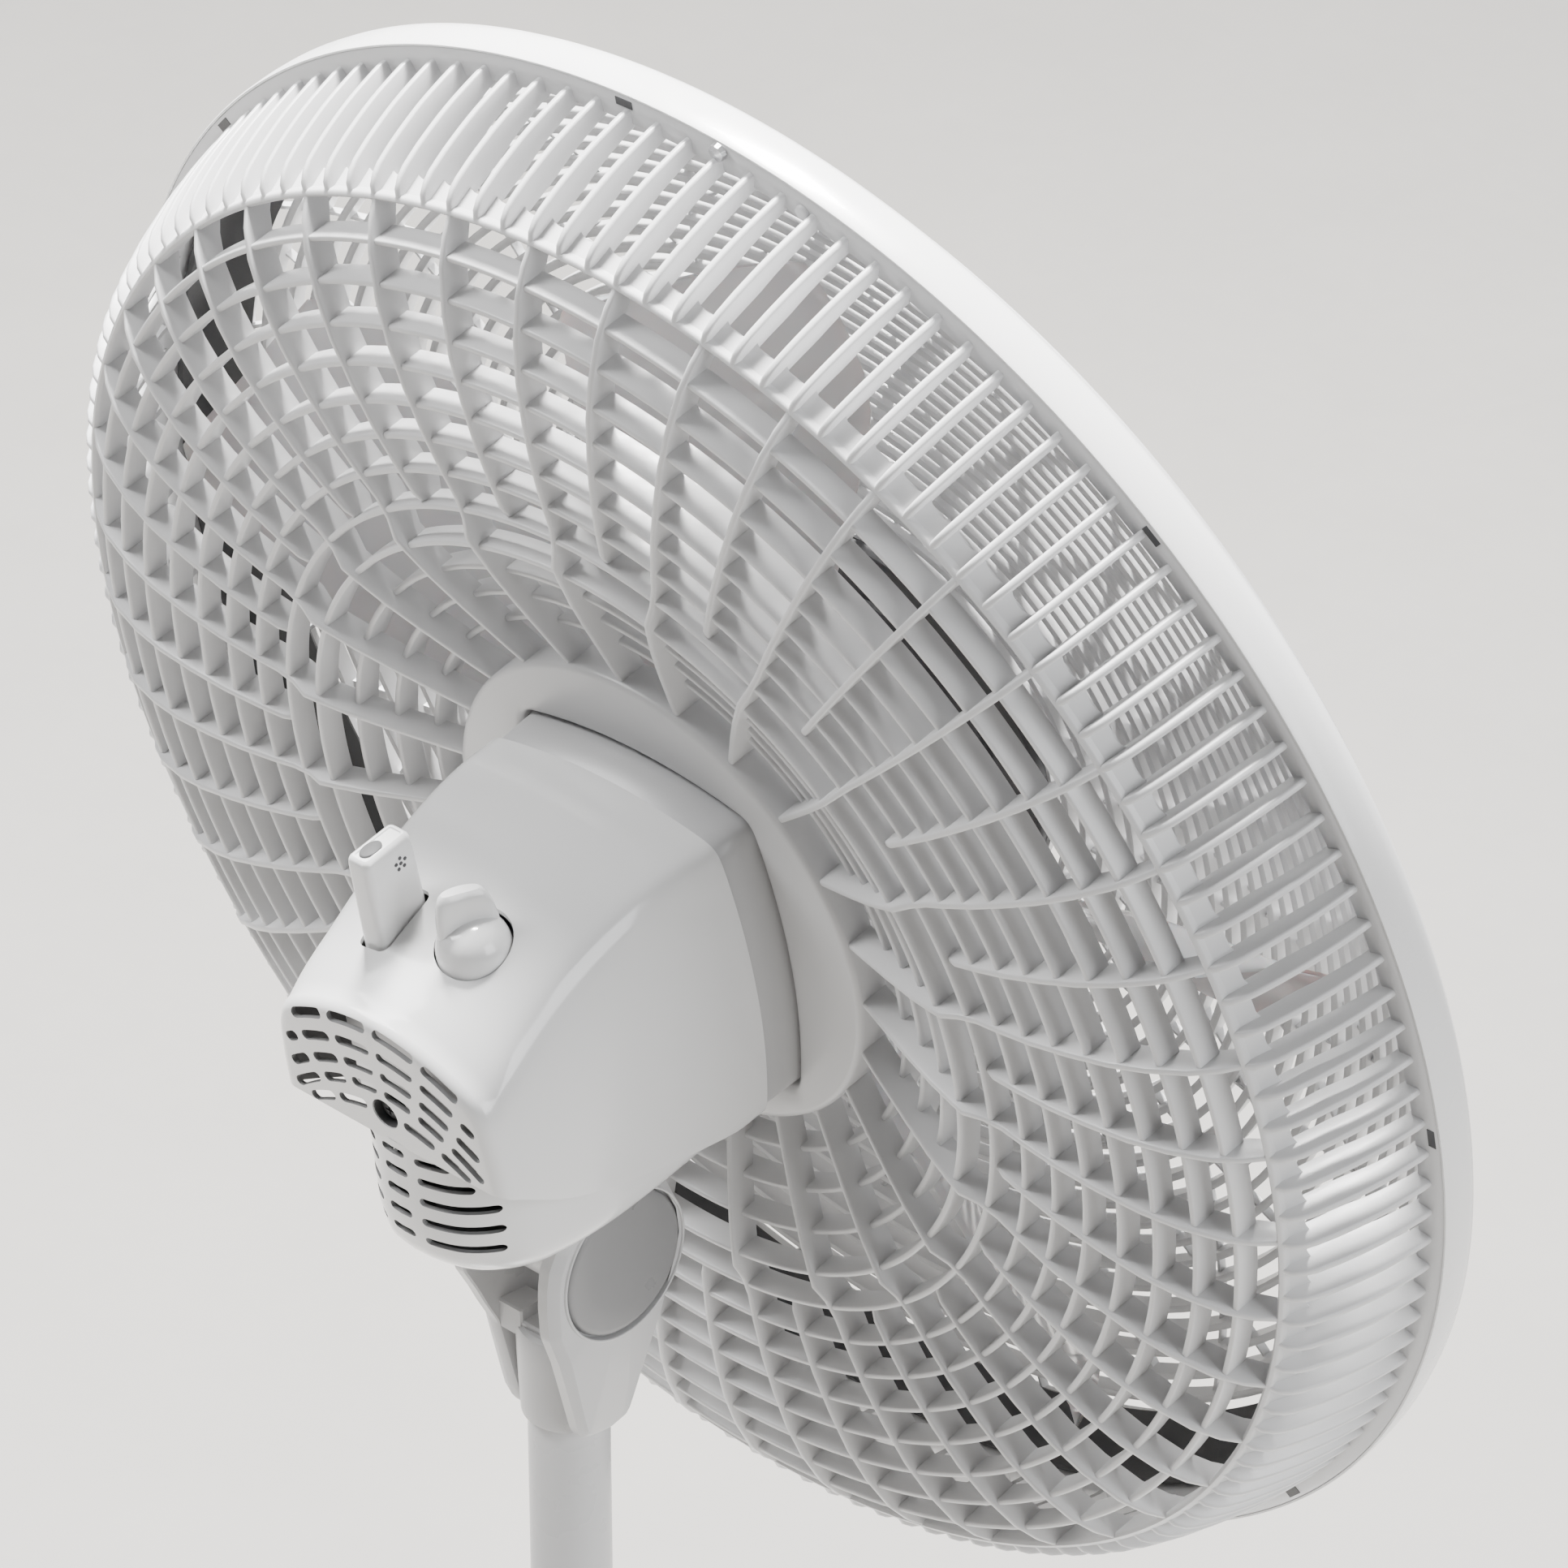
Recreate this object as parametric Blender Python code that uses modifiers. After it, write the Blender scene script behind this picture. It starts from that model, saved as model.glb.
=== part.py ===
"""Pedestal fan: weighted round base, telescopic pole, tilting neck, oscillating head, five blades.

Metres, +Z up, origin on the floor at the pole's axis, the fan blows towards -Y.
The head is built level, with the tilt pivot as its origin, and is tilted back by HEAD_TILT.
"""
import math

import bmesh
import bpy
from mathutils import Matrix, Vector

# ---------------------------------------------------------------- driving dimensions
PIVOT_Z = 0.828            # tilt pivot above the floor
HEAD_TILT = 11.5           # degrees that the head leans back at rest
AXIS_UP = 0.0915           # fan axis above the tilt pivot, in the head
BELT_FWD = 0.0613          # rear guard's belt ring in front of the tilt pivot, in the head
GAP = 0.0004               # clearance between pieces that touch

# base and pole
BASE_R = 0.210
BASE_WALL = 0.0025
BASE_SIDES = 36
FOOT_H = 0.003
FOOT_R = 0.012
FOOT_COUNT = 5
FOOT_RING_R = 0.180
LOWER_TUBE_R = 0.0159
LOWER_TUBE_BORE = 0.0144
LOWER_TUBE_BOTTOM = 0.0165
LOWER_TUBE_TOP = 0.500
UPPER_TUBE_R = 0.0127
UPPER_TUBE_BORE = 0.0114
UPPER_TUBE_BOTTOM = 0.228
COLLAR_BOTTOM = 0.462
LOCK_RING_BOTTOM = 0.508
LOCK_RING_TOP = 0.556
COLLET_TOP = 0.548

# neck: ears either side of the tilt knuckle
SLEEVE_DROP = 0.0645        # sleeve's lower edge below the pivot
EAR_R = 0.0285
EAR_IN = 0.0172
EAR_OUT = 0.0250
EAR_TIP_DROP = 0.060
COVER_R = 0.0240
TILT_BOLT_R = 0.0040
KNUCKLE_R = 0.0150
KNUCKLE_HALF = EAR_IN - 0.0006
OSC_PIN_R = 0.0050
OSC_PIN_TOP = 0.0520

# guard and blades: (radius, distance in front of the belt ring)
RIB_COUNT = 23
RIB_PHASE = 12.12
RIB_SIZE = 0.0042
REAR_PROFILE = (
    (0.0770, 0.0020),
    (0.1060, -0.0060),
    (0.1400, -0.0125),
    (0.1920, -0.0125),
    (0.2390, 0.0010),
    (0.2530, 0.0230),
    (0.2610, 0.0470),
)
FLANGE_OUT = 0.0812
FLANGE_REAR = -0.0010
RIM_R = 0.2640
RIM_REAR = 0.0443
RIM_SPLIT = 0.0540
RIM_FRONT = 0.0620
SCREW_ANGLE = 82.5
FRONT_RIBS = 18
FRONT_PHASE = 5.0
FRONT_PROFILE = (
    (0.2590, 0.0605),
    (0.2400, 0.0780),
    (0.1900, 0.0940),
    (0.1300, 0.1020),
    (0.0640, 0.1050),
)
CENTRE_R = 0.0660
BLADE_COUNT = 5
BLADE_PHASE = 70.0
BLADE_TIP_R = 0.215
BLADE_ROOT_R = 0.026
BLADE_FRONT = 0.062
BLADE_REAR = 0.014
BLADE_THICK = 0.0022
BLADE_HUB_R = 0.034

# motor housing sections: distance behind the belt ring, then the corners' half width, top and
# bottom, and how far the sides and top, and the underside, bulge between the corners
HOUSING_SECTIONS = (
    (0.0140, 0.0455, 0.0488, -0.0535, 0.0065, 0.0050),
    (0.0450, 0.0424, 0.0504, -0.0570, 0.0065, 0.0030),
    (0.0750, 0.0400, 0.0435, -0.0580, 0.0060, 0.0030),
    (0.1000, 0.0404, 0.0309, -0.0580, 0.0050, 0.0080),
    (0.1100, 0.0405, 0.0233, -0.0520, 0.0045, 0.0080),
    (0.1170, 0.0370, 0.0140, -0.0400, 0.0040, 0.0040),
)
COVER_INSET = 0.0030              # the gear cover stands in from the rear housing
HOUSING_WALL = 0.0024
SPLIT_FRONT = (0.0100, -0.0570)   # (behind belt, above axis) where the two shells part, in front
SPLIT_REAR = (0.1220, -0.0075)    # and at the rear
COLLAR_FWD = 0.0076               # front housing's face in front of the belt ring
THREAD_R = 0.0165                 # plastic thread that the guard nut screws onto

# motor and gearbox, distances behind the belt ring
SHAFT_R = 0.0040
SHAFT_FRONT = -0.0760
SHAFT_REAR = 0.0980
STATOR_R = 0.0400
STATOR_REAR = 0.0310
STATOR_LEN = 0.0180
GEARBOX_FRONT = 0.0508
WORM_MID = 0.0830
WORM_R = 0.0048
GEAR_OFFSET = 0.0150              # worm gear's axis beside the shaft
GEAR_R = GEAR_OFFSET - WORM_R - 0.0005
SPINDLE_R = 0.0030
PINION_R = 0.0036
CRANK_GEAR_R = 0.0120
CRANK_OFFSET = PINION_R + CRANK_GEAR_R + 0.0004
CRANK_TOP = -0.0310               # top of the crank gear, from the fan axis
CRANK_THROW = 0.0080
LINK_TOP = -0.0400                # crank link's upper face, from the fan axis
LINK_THICK = 0.0020
LINK_ARM_R = 0.0030
LINK_ARM_SIDE = -0.0130           # arm of the knuckle that the link turns on
PIN_BOSS_R = 0.0085

KNOB_BEHIND = 0.0815              # speed knob and pull stem, behind the belt ring
KNOB_SIDE = -0.0120
PULL_BEHIND = 0.0855
PULL_SIDE = 0.0170

COLLECTION = "pedestal_fan"
MATERIALS = {
    "housing_white": ((0.86, 0.86, 0.86), 0.22, 0.0),
    "guard_white": ((0.74, 0.74, 0.735), 0.38, 0.0),
    "rim_white": ((0.90, 0.90, 0.90), 0.25, 0.0),
    "blade_grey": ((0.66, 0.66, 0.67), 0.20, 0.0),
    "neck_grey": ((0.66, 0.66, 0.66), 0.35, 0.0),
    "dark_plastic": ((0.10, 0.10, 0.105), 0.45, 0.0),
    "pole_white": ((0.76, 0.76, 0.765), 0.32, 0.0),
    "steel": ((0.62, 0.62, 0.63), 0.30, 1.0),
    "cast_weight": ((0.16, 0.16, 0.165), 0.70, 0.6),
    "rubber": ((0.05, 0.05, 0.05), 0.85, 0.0),
    "aluminium": ((0.72, 0.72, 0.73), 0.45, 1.0),
    "copper": ((0.70, 0.36, 0.20), 0.35, 1.0),
    "gear_nylon": ((0.88, 0.86, 0.78), 0.45, 0.0),
}


# ---------------------------------------------------------------- helpers
def clear_scene():
    for item in list(bpy.data.objects):
        bpy.data.objects.remove(item, do_unlink=True)


def make_collection(name, hidden=False):
    collection = bpy.data.collections.new(name)
    bpy.context.scene.collection.children.link(collection)
    collection.hide_render = hidden
    return collection


def make_materials():
    made = {}
    for name, (colour, roughness, metallic) in MATERIALS.items():
        material = bpy.data.materials.new(name)
        material.use_nodes = True
        shader = material.node_tree.nodes["Principled BSDF"]
        shader.inputs["Base Color"].default_value = (*colour, 1.0)
        shader.inputs["Roughness"].default_value = roughness
        shader.inputs["Metallic"].default_value = metallic
        made[name] = material
    return made


def empty(name, location=(0, 0, 0), parent=None, tilt=0.0):
    item = bpy.data.objects.new(name, None)
    item.empty_display_size = 0.03
    item.location = location
    item.rotation_euler = (tilt, 0, 0)
    item.parent = parent
    parts.objects.link(item)
    return item


def place(item, parent=None, location=(0, 0, 0), rotation=(0, 0, 0)):
    item.parent = parent
    item.location = location
    item.rotation_euler = rotation
    return item


def mesh_object(name, mesh, material=None, collection=None):
    item = bpy.data.objects.new(name, mesh)
    (collection or parts).objects.link(item)
    if material:
        mesh.materials.append(materials[material])
    return item


def finish_mesh(name, built, material=None, cutter=False, smooth=True):
    bmesh.ops.recalc_face_normals(built, faces=built.faces)
    mesh = bpy.data.meshes.new(name)
    built.to_mesh(mesh)
    built.free()
    if smooth:
        mesh.shade_smooth()
        mesh.set_sharp_from_angle(angle=math.radians(35))
    item = mesh_object(name, mesh, material, cutters if cutter else parts)
    if cutter:
        item.hide_render = True
        item.display_type = "WIRE"
    return item


def turned(name, profile, material=None, steps=20, closed=True, cutter=False):
    """Profile points (radius, height), down the outer side first, turned about Z."""
    mesh = bpy.data.meshes.new(name)
    points = [(r, 0.0, z) for r, z in profile]
    edges = [(i, i + 1) for i in range(len(points) - 1)]
    if closed:
        edges.append((len(points) - 1, 0))
    mesh.from_pydata(points, edges, [])
    item = mesh_object(name, mesh, material, cutters if cutter else parts)
    screw = item.modifiers.new("turn", "SCREW")
    screw.axis = "Z"
    screw.steps = steps
    screw.render_steps = steps
    screw.use_merge_vertices = True
    screw.merge_threshold = 0.00001
    screw.use_smooth_shade = True
    if cutter:
        item.hide_render = True
        item.display_type = "WIRE"
    return item


def ring(name, outer, inner, low, high, material=None, steps=20, cutter=False):
    profile = [(outer, high), (outer, low), (inner, low), (inner, high)]
    return turned(name, profile, material, steps, True, cutter)


def rod(name, radius, low, high, material=None, steps=12, cutter=False):
    profile = [(0.0, high), (radius, high), (radius, low), (0.0, low)]
    return turned(name, profile, material, steps, False, cutter)


def box(name, low, high, material=None, bevel=0.0, cutter=False):
    built = bmesh.new()
    bmesh.ops.create_cube(built, size=1.0)
    size = [b - a for a, b in zip(low, high)]
    middle = [(a + b) / 2 for a, b in zip(low, high)]
    bmesh.ops.scale(built, vec=size, verts=built.verts)
    bmesh.ops.translate(built, vec=middle, verts=built.verts)
    item = finish_mesh(name, built, material, cutter, smooth=False)
    if bevel:
        edge = item.modifiers.new("edge", "BEVEL")
        edge.width = bevel
        edge.segments = 2
    return item


def extruded(name, outline, low, high, axis, material=None, cutter=False):
    """Flat outline of (u, v) points pushed from low to high along axis 'X' or 'Z'."""
    built = bmesh.new()
    if axis == "X":
        corners = [built.verts.new((low, u, v)) for u, v in outline]
        push = Vector((high - low, 0, 0))
    else:
        corners = [built.verts.new((u, v, low)) for u, v in outline]
        push = Vector((0, 0, high - low))
    face = built.faces.new(corners)
    grown = bmesh.ops.extrude_face_region(built, geom=[face])
    moved = [g for g in grown["geom"] if isinstance(g, bmesh.types.BMVert)]
    bmesh.ops.translate(built, vec=push, verts=moved)
    return finish_mesh(name, built, material, cutter, smooth=False)


def section(behind, half, top, bottom, bulge, sag, inset=0.0, steps=4):
    """Four-cornered outline across the fan axis whose sides bow out between the corners."""
    half, top, bottom = half - inset, top - inset, bottom + inset
    middle, reach = (top + bottom) / 2, (top - bottom) / 2
    shares = [2 * step / steps - 1 for step in range(steps)]
    over = [(-half * t, top + bulge * (1 - t * t)) for t in shares]
    left = [(-half - bulge * (1 - t * t), middle - reach * t) for t in shares]
    under = [(half * t, bottom - sag * (1 - t * t)) for t in shares]
    right = [(half + bulge * (1 - t * t), middle + reach * t) for t in shares]
    return [(x, behind, z) for x, z in over + left + under + right]


def loft(name, rings, material=None, cutter=False):
    """Skin between rings of equal point counts, closed at both ends."""
    built = bmesh.new()
    rows = [[built.verts.new(point) for point in row] for row in rings]
    count = len(rows[0])
    for a, b in zip(rows, rows[1:]):
        for i in range(count):
            j = (i + 1) % count
            built.faces.new((a[i], a[j], b[j], b[i]))
    built.faces.new(rows[0])
    built.faces.new(rows[-1])
    return finish_mesh(name, built, material, cutter)


def boolean(item, other, operation="DIFFERENCE"):
    step = item.modifiers.new(operation.lower(), "BOOLEAN")
    step.operation = operation
    step.solver = "EXACT"
    step.object = other
    return item


def cut(item, *others):
    for other in others:
        boolean(item, other)
    return item


def join(item, *others):
    """Union with pieces that stay behind as guides."""
    for other in others:
        for owner in list(other.users_collection):
            owner.objects.unlink(other)
        cutters.objects.link(other)
        other.hide_render = True
        other.display_type = "WIRE"
        boolean(item, other, "UNION")
    return item


def polar(radius, degrees, forward):
    """Point in the fan's turning frame: +Z forward, seen so that 90 degrees is up in the head."""
    angle = math.radians(degrees)
    return (-radius * math.cos(angle), radius * math.sin(angle), forward)


def lattice(name, profile, ribs, phase, material):
    """Ribs along a turned profile with a ring at each of its points."""
    built = bmesh.new()
    rows = []
    for radius, forward in profile:
        row = [built.verts.new(polar(radius, phase + 360 * i / ribs, forward)) for i in range(ribs)]
        rows.append(row)
    for a, b in zip(rows, rows[1:]):
        for i in range(ribs):
            j = (i + 1) % ribs
            built.faces.new((a[i], a[j], b[j], b[i]))
    item = finish_mesh(name, built, material, smooth=False)
    frame = item.modifiers.new("ribs", "WIREFRAME")
    frame.thickness = RIB_SIZE
    frame.use_replace = True
    frame.use_boundary = True
    frame.use_even_offset = True
    return item


# ---------------------------------------------------------------- base and pole
def build_base(stand):
    wall = BASE_WALL
    profile = [
        (0.0250, 0.0640),
        (0.0285, 0.0600),
        (0.0330, 0.0420),
        (0.0600, 0.0340),
        (0.1500, 0.0250),
        (0.1980, 0.0160),
        (0.2085, 0.0090),
        (BASE_R, FOOT_H),
        (BASE_R - wall, FOOT_H),
        (0.1960, 0.0138),
        (0.1500, 0.0220),
        (0.0600, 0.0300),
        (0.0330, 0.0340),
        (0.0240, 0.0340),
        (0.0240, 0.0128),
        (0.0056, 0.0128),
        (0.0056, LOWER_TUBE_BOTTOM - GAP),
        (LOWER_TUBE_R + GAP, LOWER_TUBE_BOTTOM - GAP),
        (LOWER_TUBE_R + GAP, 0.0640),
    ]
    place(turned("base_shell", profile, "housing_white", BASE_SIDES), stand)
    plate = ring("base_plate", 0.2045, 0.0300, FOOT_H, FOOT_H + 0.0020, "dark_plastic", BASE_SIDES)
    place(plate, stand)
    weight = ring("base_weight", 0.1650, 0.0290, FOOT_H + 0.0024, FOOT_H + 0.0094, "cast_weight", BASE_SIDES)
    place(weight, stand)
    for index in range(FOOT_COUNT):
        angle = math.radians(90 + 360 * index / FOOT_COUNT)
        foot = rod("foot_%d" % (index + 1), FOOT_R, 0.0, FOOT_H - GAP, "rubber")
        place(foot, stand, (FOOT_RING_R * math.cos(angle), FOOT_RING_R * math.sin(angle), 0))
    washer = ring("base_washer", 0.0200, 0.0056, 0.0106, 0.0124, "steel")
    place(washer, stand)
    head = rod("base_bolt", 0.0100, 0.0036, 0.0102, "steel", 6)
    shank = rod("base_bolt_shank", 0.0050, 0.0090, 0.0330, None, 12)
    place(join(head, shank), stand)
    plug = ring("tube_plug", LOWER_TUBE_BORE - GAP, 0.0054, LOWER_TUBE_BOTTOM, 0.0400, "steel")
    place(plug, stand)


def build_pole(stand, lock_axis, mast):
    tube = ring("lower_tube", LOWER_TUBE_R, LOWER_TUBE_BORE, LOWER_TUBE_BOTTOM, LOWER_TUBE_TOP, "pole_white")
    place(tube, stand)
    collar = turned("tube_collar", [
        (0.0182, LOCK_RING_BOTTOM + 0.0300),
        (0.0182, LOCK_RING_BOTTOM - 0.0010),
        (0.0236, LOCK_RING_BOTTOM - 0.0010),
        (0.0236, LOCK_RING_BOTTOM - 0.0080),
        (0.0196, COLLAR_BOTTOM),
        (LOWER_TUBE_R + GAP, COLLAR_BOTTOM),
        (LOWER_TUBE_R + GAP, LOCK_RING_BOTTOM + 0.0300),
    ], "neck_grey")
    place(collar, stand)
    collet = ring("collet", 0.0155, UPPER_TUBE_R + GAP, LOWER_TUBE_TOP + GAP, COLLET_TOP, "gear_nylon")
    slit = box("collet_slit", (0.005, -0.0008, LOWER_TUBE_TOP - 0.01),
               (0.03, 0.0008, COLLET_TOP + 0.01), cutter=True)
    place(cut(collet, slit), stand)

    height = LOCK_RING_TOP - LOCK_RING_BOTTOM
    nut = turned("height_lock_ring", [
        (0.0215, height),
        (0.0240, height - 0.0040),
        (0.0262, 0.0050),
        (0.0250, 0.0),
        (0.0187, 0.0),
        (0.0187, height - 0.0070),
        (UPPER_TUBE_R + 0.0008, height - 0.0050),
        (UPPER_TUBE_R + 0.0008, height),
    ], "housing_white", 20)
    for index in range(8):
        angle = math.radians(45 * index)
        groove = rod("grip_cut_%d" % (index + 1), 0.0032, -0.002, height * 0.72, None, 10, cutter=True)
        place(groove, lock_axis, (0.0278 * math.cos(angle), 0.0278 * math.sin(angle), 0))
        cut(nut, groove)
    place(nut, lock_axis)

    top = PIVOT_Z - 0.040
    tube = ring("upper_tube", UPPER_TUBE_R, UPPER_TUBE_BORE, UPPER_TUBE_BOTTOM - top, 0.0, "pole_white")
    place(tube, mast, (0, 0, -0.040))


# ---------------------------------------------------------------- neck and tilt knuckle
def ear_outline():
    """Side view of a neck ear: round about the pivot, tapering to a blunt tip."""
    points = []
    for step in range(13):
        angle = math.radians(-28 + 236 * step / 12)
        points.append((EAR_R * math.cos(angle), EAR_R * math.sin(angle)))
    points.append((-0.0205, -0.0420))
    points.append((-0.0080, -EAR_TIP_DROP))
    points.append((0.0130, -EAR_TIP_DROP))
    points.append((0.0250, -0.0340))
    return points


def build_neck(mast):
    outline = ear_outline()
    neck = turned("neck_yoke", [
        (0.0186, -0.0310),
        (0.0172, -0.0500),
        (0.0137, -SLEEVE_DROP),
        (UPPER_TUBE_R + GAP, -SLEEVE_DROP),
        (UPPER_TUBE_R + GAP, -0.0386),
        (0.0060, -0.0386),
        (0.0060, -0.0310),
    ], "neck_grey")
    right = extruded("ear_right", outline, -EAR_OUT, -EAR_IN, "X", None)
    left = extruded("ear_left", outline, EAR_IN, EAR_OUT, "X", None)
    bridge = box("ear_bridge", (-EAR_IN - 0.003, -0.0160, -0.0480), (EAR_IN + 0.003, 0.0160, -0.0320))
    stop = box("ear_stop", (-EAR_IN - 0.003, 0.0120, -0.0400), (EAR_IN + 0.003, 0.0240, -0.0270))
    join(neck, right, left, bridge, stop)
    bore = rod("neck_bore", UPPER_TUBE_R + GAP, -SLEEVE_DROP - 0.01, -0.0386, None, 20, cutter=True)
    place(bore, mast)
    hole = rod("ear_hole", TILT_BOLT_R + GAP, -0.03, 0.03, None, 12, cutter=True)
    place(hole, mast, rotation=(0, math.radians(90), 0))
    pocket = rod("cover_pocket_right", COVER_R + GAP, EAR_OUT - 0.0030, EAR_OUT + 0.01, None, 32, cutter=True)
    place(pocket, mast, rotation=(0, math.radians(-90), 0))
    pocket_left = rod("cover_pocket_left", COVER_R + GAP, EAR_OUT - 0.0030, EAR_OUT + 0.01, None, 32,
                      cutter=True)
    place(pocket_left, mast, rotation=(0, math.radians(90), 0))
    for guide in (right, left, bridge, stop):
        guide.parent = mast
    place(cut(neck, bore, hole, pocket, pocket_left), mast)

    for side, turn in (("right", -90), ("left", 90)):
        cover = turned("pivot_cover_" + side, [
            (0.0, EAR_OUT + 0.0006),
            (COVER_R - 0.0015, EAR_OUT + 0.0002),
            (COVER_R, EAR_OUT - 0.0010),
            (COVER_R, EAR_OUT - 0.0026),
            (0.0085, EAR_OUT - 0.0026),
            (0.0085, EAR_OUT - 0.0014),
            (0.0, EAR_OUT - 0.0014),
        ], "neck_grey", 32, closed=False)
        place(cover, mast, rotation=(0, math.radians(turn), 0))
    shank = rod("tilt_bolt", TILT_BOLT_R, -0.0216, 0.0212, "steel")
    place(shank, mast, rotation=(0, math.radians(-90), 0))
    screw = rod("neck_screw", 0.0022, 0.0132, 0.0185, "steel", 10)
    seat = rod("neck_screw_hole", 0.0026, 0.0100, 0.0300, None, 10, cutter=True)
    for item in (screw, seat):
        place(item, mast, (0, 0, -0.0530), (math.radians(90), 0, 0))
    cut(neck, seat)


def build_knuckle(tilt):
    """Barrel between the ears, with the post that holds the pin and the arm that holds the link."""
    barrel = rod("tilt_knuckle", KNUCKLE_R, -KNUCKLE_HALF, KNUCKLE_HALF, "neck_grey")
    post = turned("knuckle_post", [
        (0.0, 0.0230),
        (0.0110, 0.0230),
        (0.0125, 0.0120),
        (0.0125, 0.0),
        (0.0, 0.0),
    ], None, 20, closed=False)
    arm = rod("knuckle_arm", LINK_ARM_R, 0.0, AXIS_UP + LINK_TOP - LINK_THICK - GAP)
    join(barrel, post, arm)
    place(post, tilt)
    place(arm, tilt, (LINK_ARM_SIDE, 0, 0))
    place(barrel, tilt, rotation=(0, math.radians(90), 0))
    hole = rod("knuckle_hole", TILT_BOLT_R + GAP, -0.03, 0.03, None, 12, cutter=True)
    place(hole, tilt, rotation=(0, math.radians(90), 0))
    seat = rod("pin_seat", OSC_PIN_R + GAP, 0.0100, 0.05, None, 12, cutter=True)
    place(seat, tilt)
    cut(barrel, hole, seat)
    pin = rod("oscillation_pin", OSC_PIN_R, 0.0105, OSC_PIN_TOP, "steel")
    place(pin, tilt)


# ---------------------------------------------------------------- head: housings
def housing_rings(inset, wall=0.0):
    """Rings of the housing's skin; with a wall they are its inside, open past the front."""
    rings = []
    last = len(HOUSING_SECTIONS) - 1
    for index, (behind, *shape) in enumerate(HOUSING_SECTIONS):
        if index == 0:
            behind -= 4 * wall
        if index == last:
            behind -= wall
        rings.append(section(behind, *shape, inset + wall))
    return rings


def collar_section(behind, inset=0.0):
    return section(behind, *HOUSING_SECTIONS[0][1:], inset)


def split_prism(name, upper, clearance):
    """Big wedge on the far side of the line where the rear housing and the gear cover part."""
    (y0, z0), (y1, z1) = SPLIT_FRONT, SPLIT_REAR
    slope = (z1 - z0) / (y1 - y0)
    ends = [(y, z0 + slope * (y - y0)) for y in (y0 - 0.05, y1 + 0.05)]
    shift = clearance if upper else -clearance
    far = 0.2 if upper else -0.2
    outline = [(y, z + shift) for y, z in ends] + [(ends[1][0], far), (ends[0][0], far)]
    return extruded(name, outline, -0.1, 0.1, "X", cutter=True)


def vent_slots(prefix, heights, half_width, low, high):
    made = []
    for index, height in enumerate(heights):
        for side, start in (("a", -half_width), ("b", 0.0060)):
            lows = (start, low, height - 0.0011)
            highs = (start + half_width - 0.0060, high, height + 0.0011)
            made.append(box("%s_%d%s" % (prefix, index + 1, side), lows, highs, cutter=True))
    return made


def build_housings(motor):
    shell = loft("rear_housing", housing_rings(0.0), "housing_white")
    hollow = loft("rear_housing_hollow", housing_rings(0.0, HOUSING_WALL), cutter=True)
    below = split_prism("rear_housing_trim", False, -GAP / 2)
    vents = vent_slots("rear_vent", (0.0060, 0.0110, 0.0160), 0.0330, 0.100, 0.13)
    hole = rod("rear_screw_hole", 0.0024, -0.13, -0.10, None, 12, cutter=True)
    knob_hole = rod("knob_hole", 0.0120, 0.03, 0.08, None, 20, cutter=True)
    place(knob_hole, motor, (KNOB_SIDE, KNOB_BEHIND, 0))
    slot = box("pull_slot", (PULL_SIDE - 0.0060, PULL_BEHIND - 0.0110, 0.02),
               (PULL_SIDE + 0.0060, PULL_BEHIND + 0.0110, 0.08), cutter=True)
    place(hole, motor, rotation=(math.radians(90), 0, 0))
    for item in [hollow, below, slot] + vents:
        place(item, motor)
    place(cut(shell, hollow, below, hole, knob_hole, slot, *vents), motor)

    cover = loft("gear_cover", housing_rings(COVER_INSET), "housing_white")
    hollow = loft("gear_cover_hollow", housing_rings(COVER_INSET, HOUSING_WALL), cutter=True)
    above = split_prism("gear_cover_trim", True, -GAP / 2)
    vents = vent_slots("gear_vent", (-0.0400, -0.0330, -0.0260), 0.0300, 0.085, 0.13)
    neck_hole = rod("neck_hole", 0.0190, -0.12, -0.05, None, 20, cutter=True)
    place(neck_hole, motor, (0, BELT_FWD, 0))
    cord_hole = rod("cord_hole", 0.0055, -0.09, -0.03, None, 12, cutter=True)
    place(cord_hole, motor, (0.0300, 0.0330, 0))
    for item in [hollow, above] + vents:
        place(item, motor)
    place(cut(cover, hollow, above, neck_hole, cord_hole, *vents), motor)

    gland = turned("cord_grommet", [
        (0.0070, -0.0640),
        (0.0070, -0.0665),
        (0.0030, -0.0665),
        (0.0030, -0.0580),
        (0.0051, -0.0580),
        (0.0051, -0.0640),
    ], "dark_plastic", 12)
    place(gland, motor, (0.0300, 0.0330, 0))

    front = loft("front_housing", [
        collar_section(0.0136),
        collar_section(-COLLAR_FWD),
    ], "housing_white")
    hollow = loft("front_housing_hollow", [
        collar_section(0.0236, HOUSING_WALL),
        collar_section(HOUSING_WALL - COLLAR_FWD, HOUSING_WALL),
    ], cutter=True)
    opening = rod("front_shaft_hole", THREAD_R + GAP, -0.01, 0.02, None, 20, cutter=True)
    place(hollow, motor)
    place(opening, motor, rotation=(math.radians(90), 0, 0))
    place(cut(front, hollow, opening), motor)

    screw = turned("rear_screw", [
        (0.0, -0.1135),
        (0.0020, -0.1135),
        (0.0020, -0.1172),
        (0.0046, -0.1176),
        (0.0034, -0.1192),
        (0.0, -0.1196),
    ], "steel", 12, closed=False)
    place(screw, motor, rotation=(math.radians(90), 0, 0))


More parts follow.
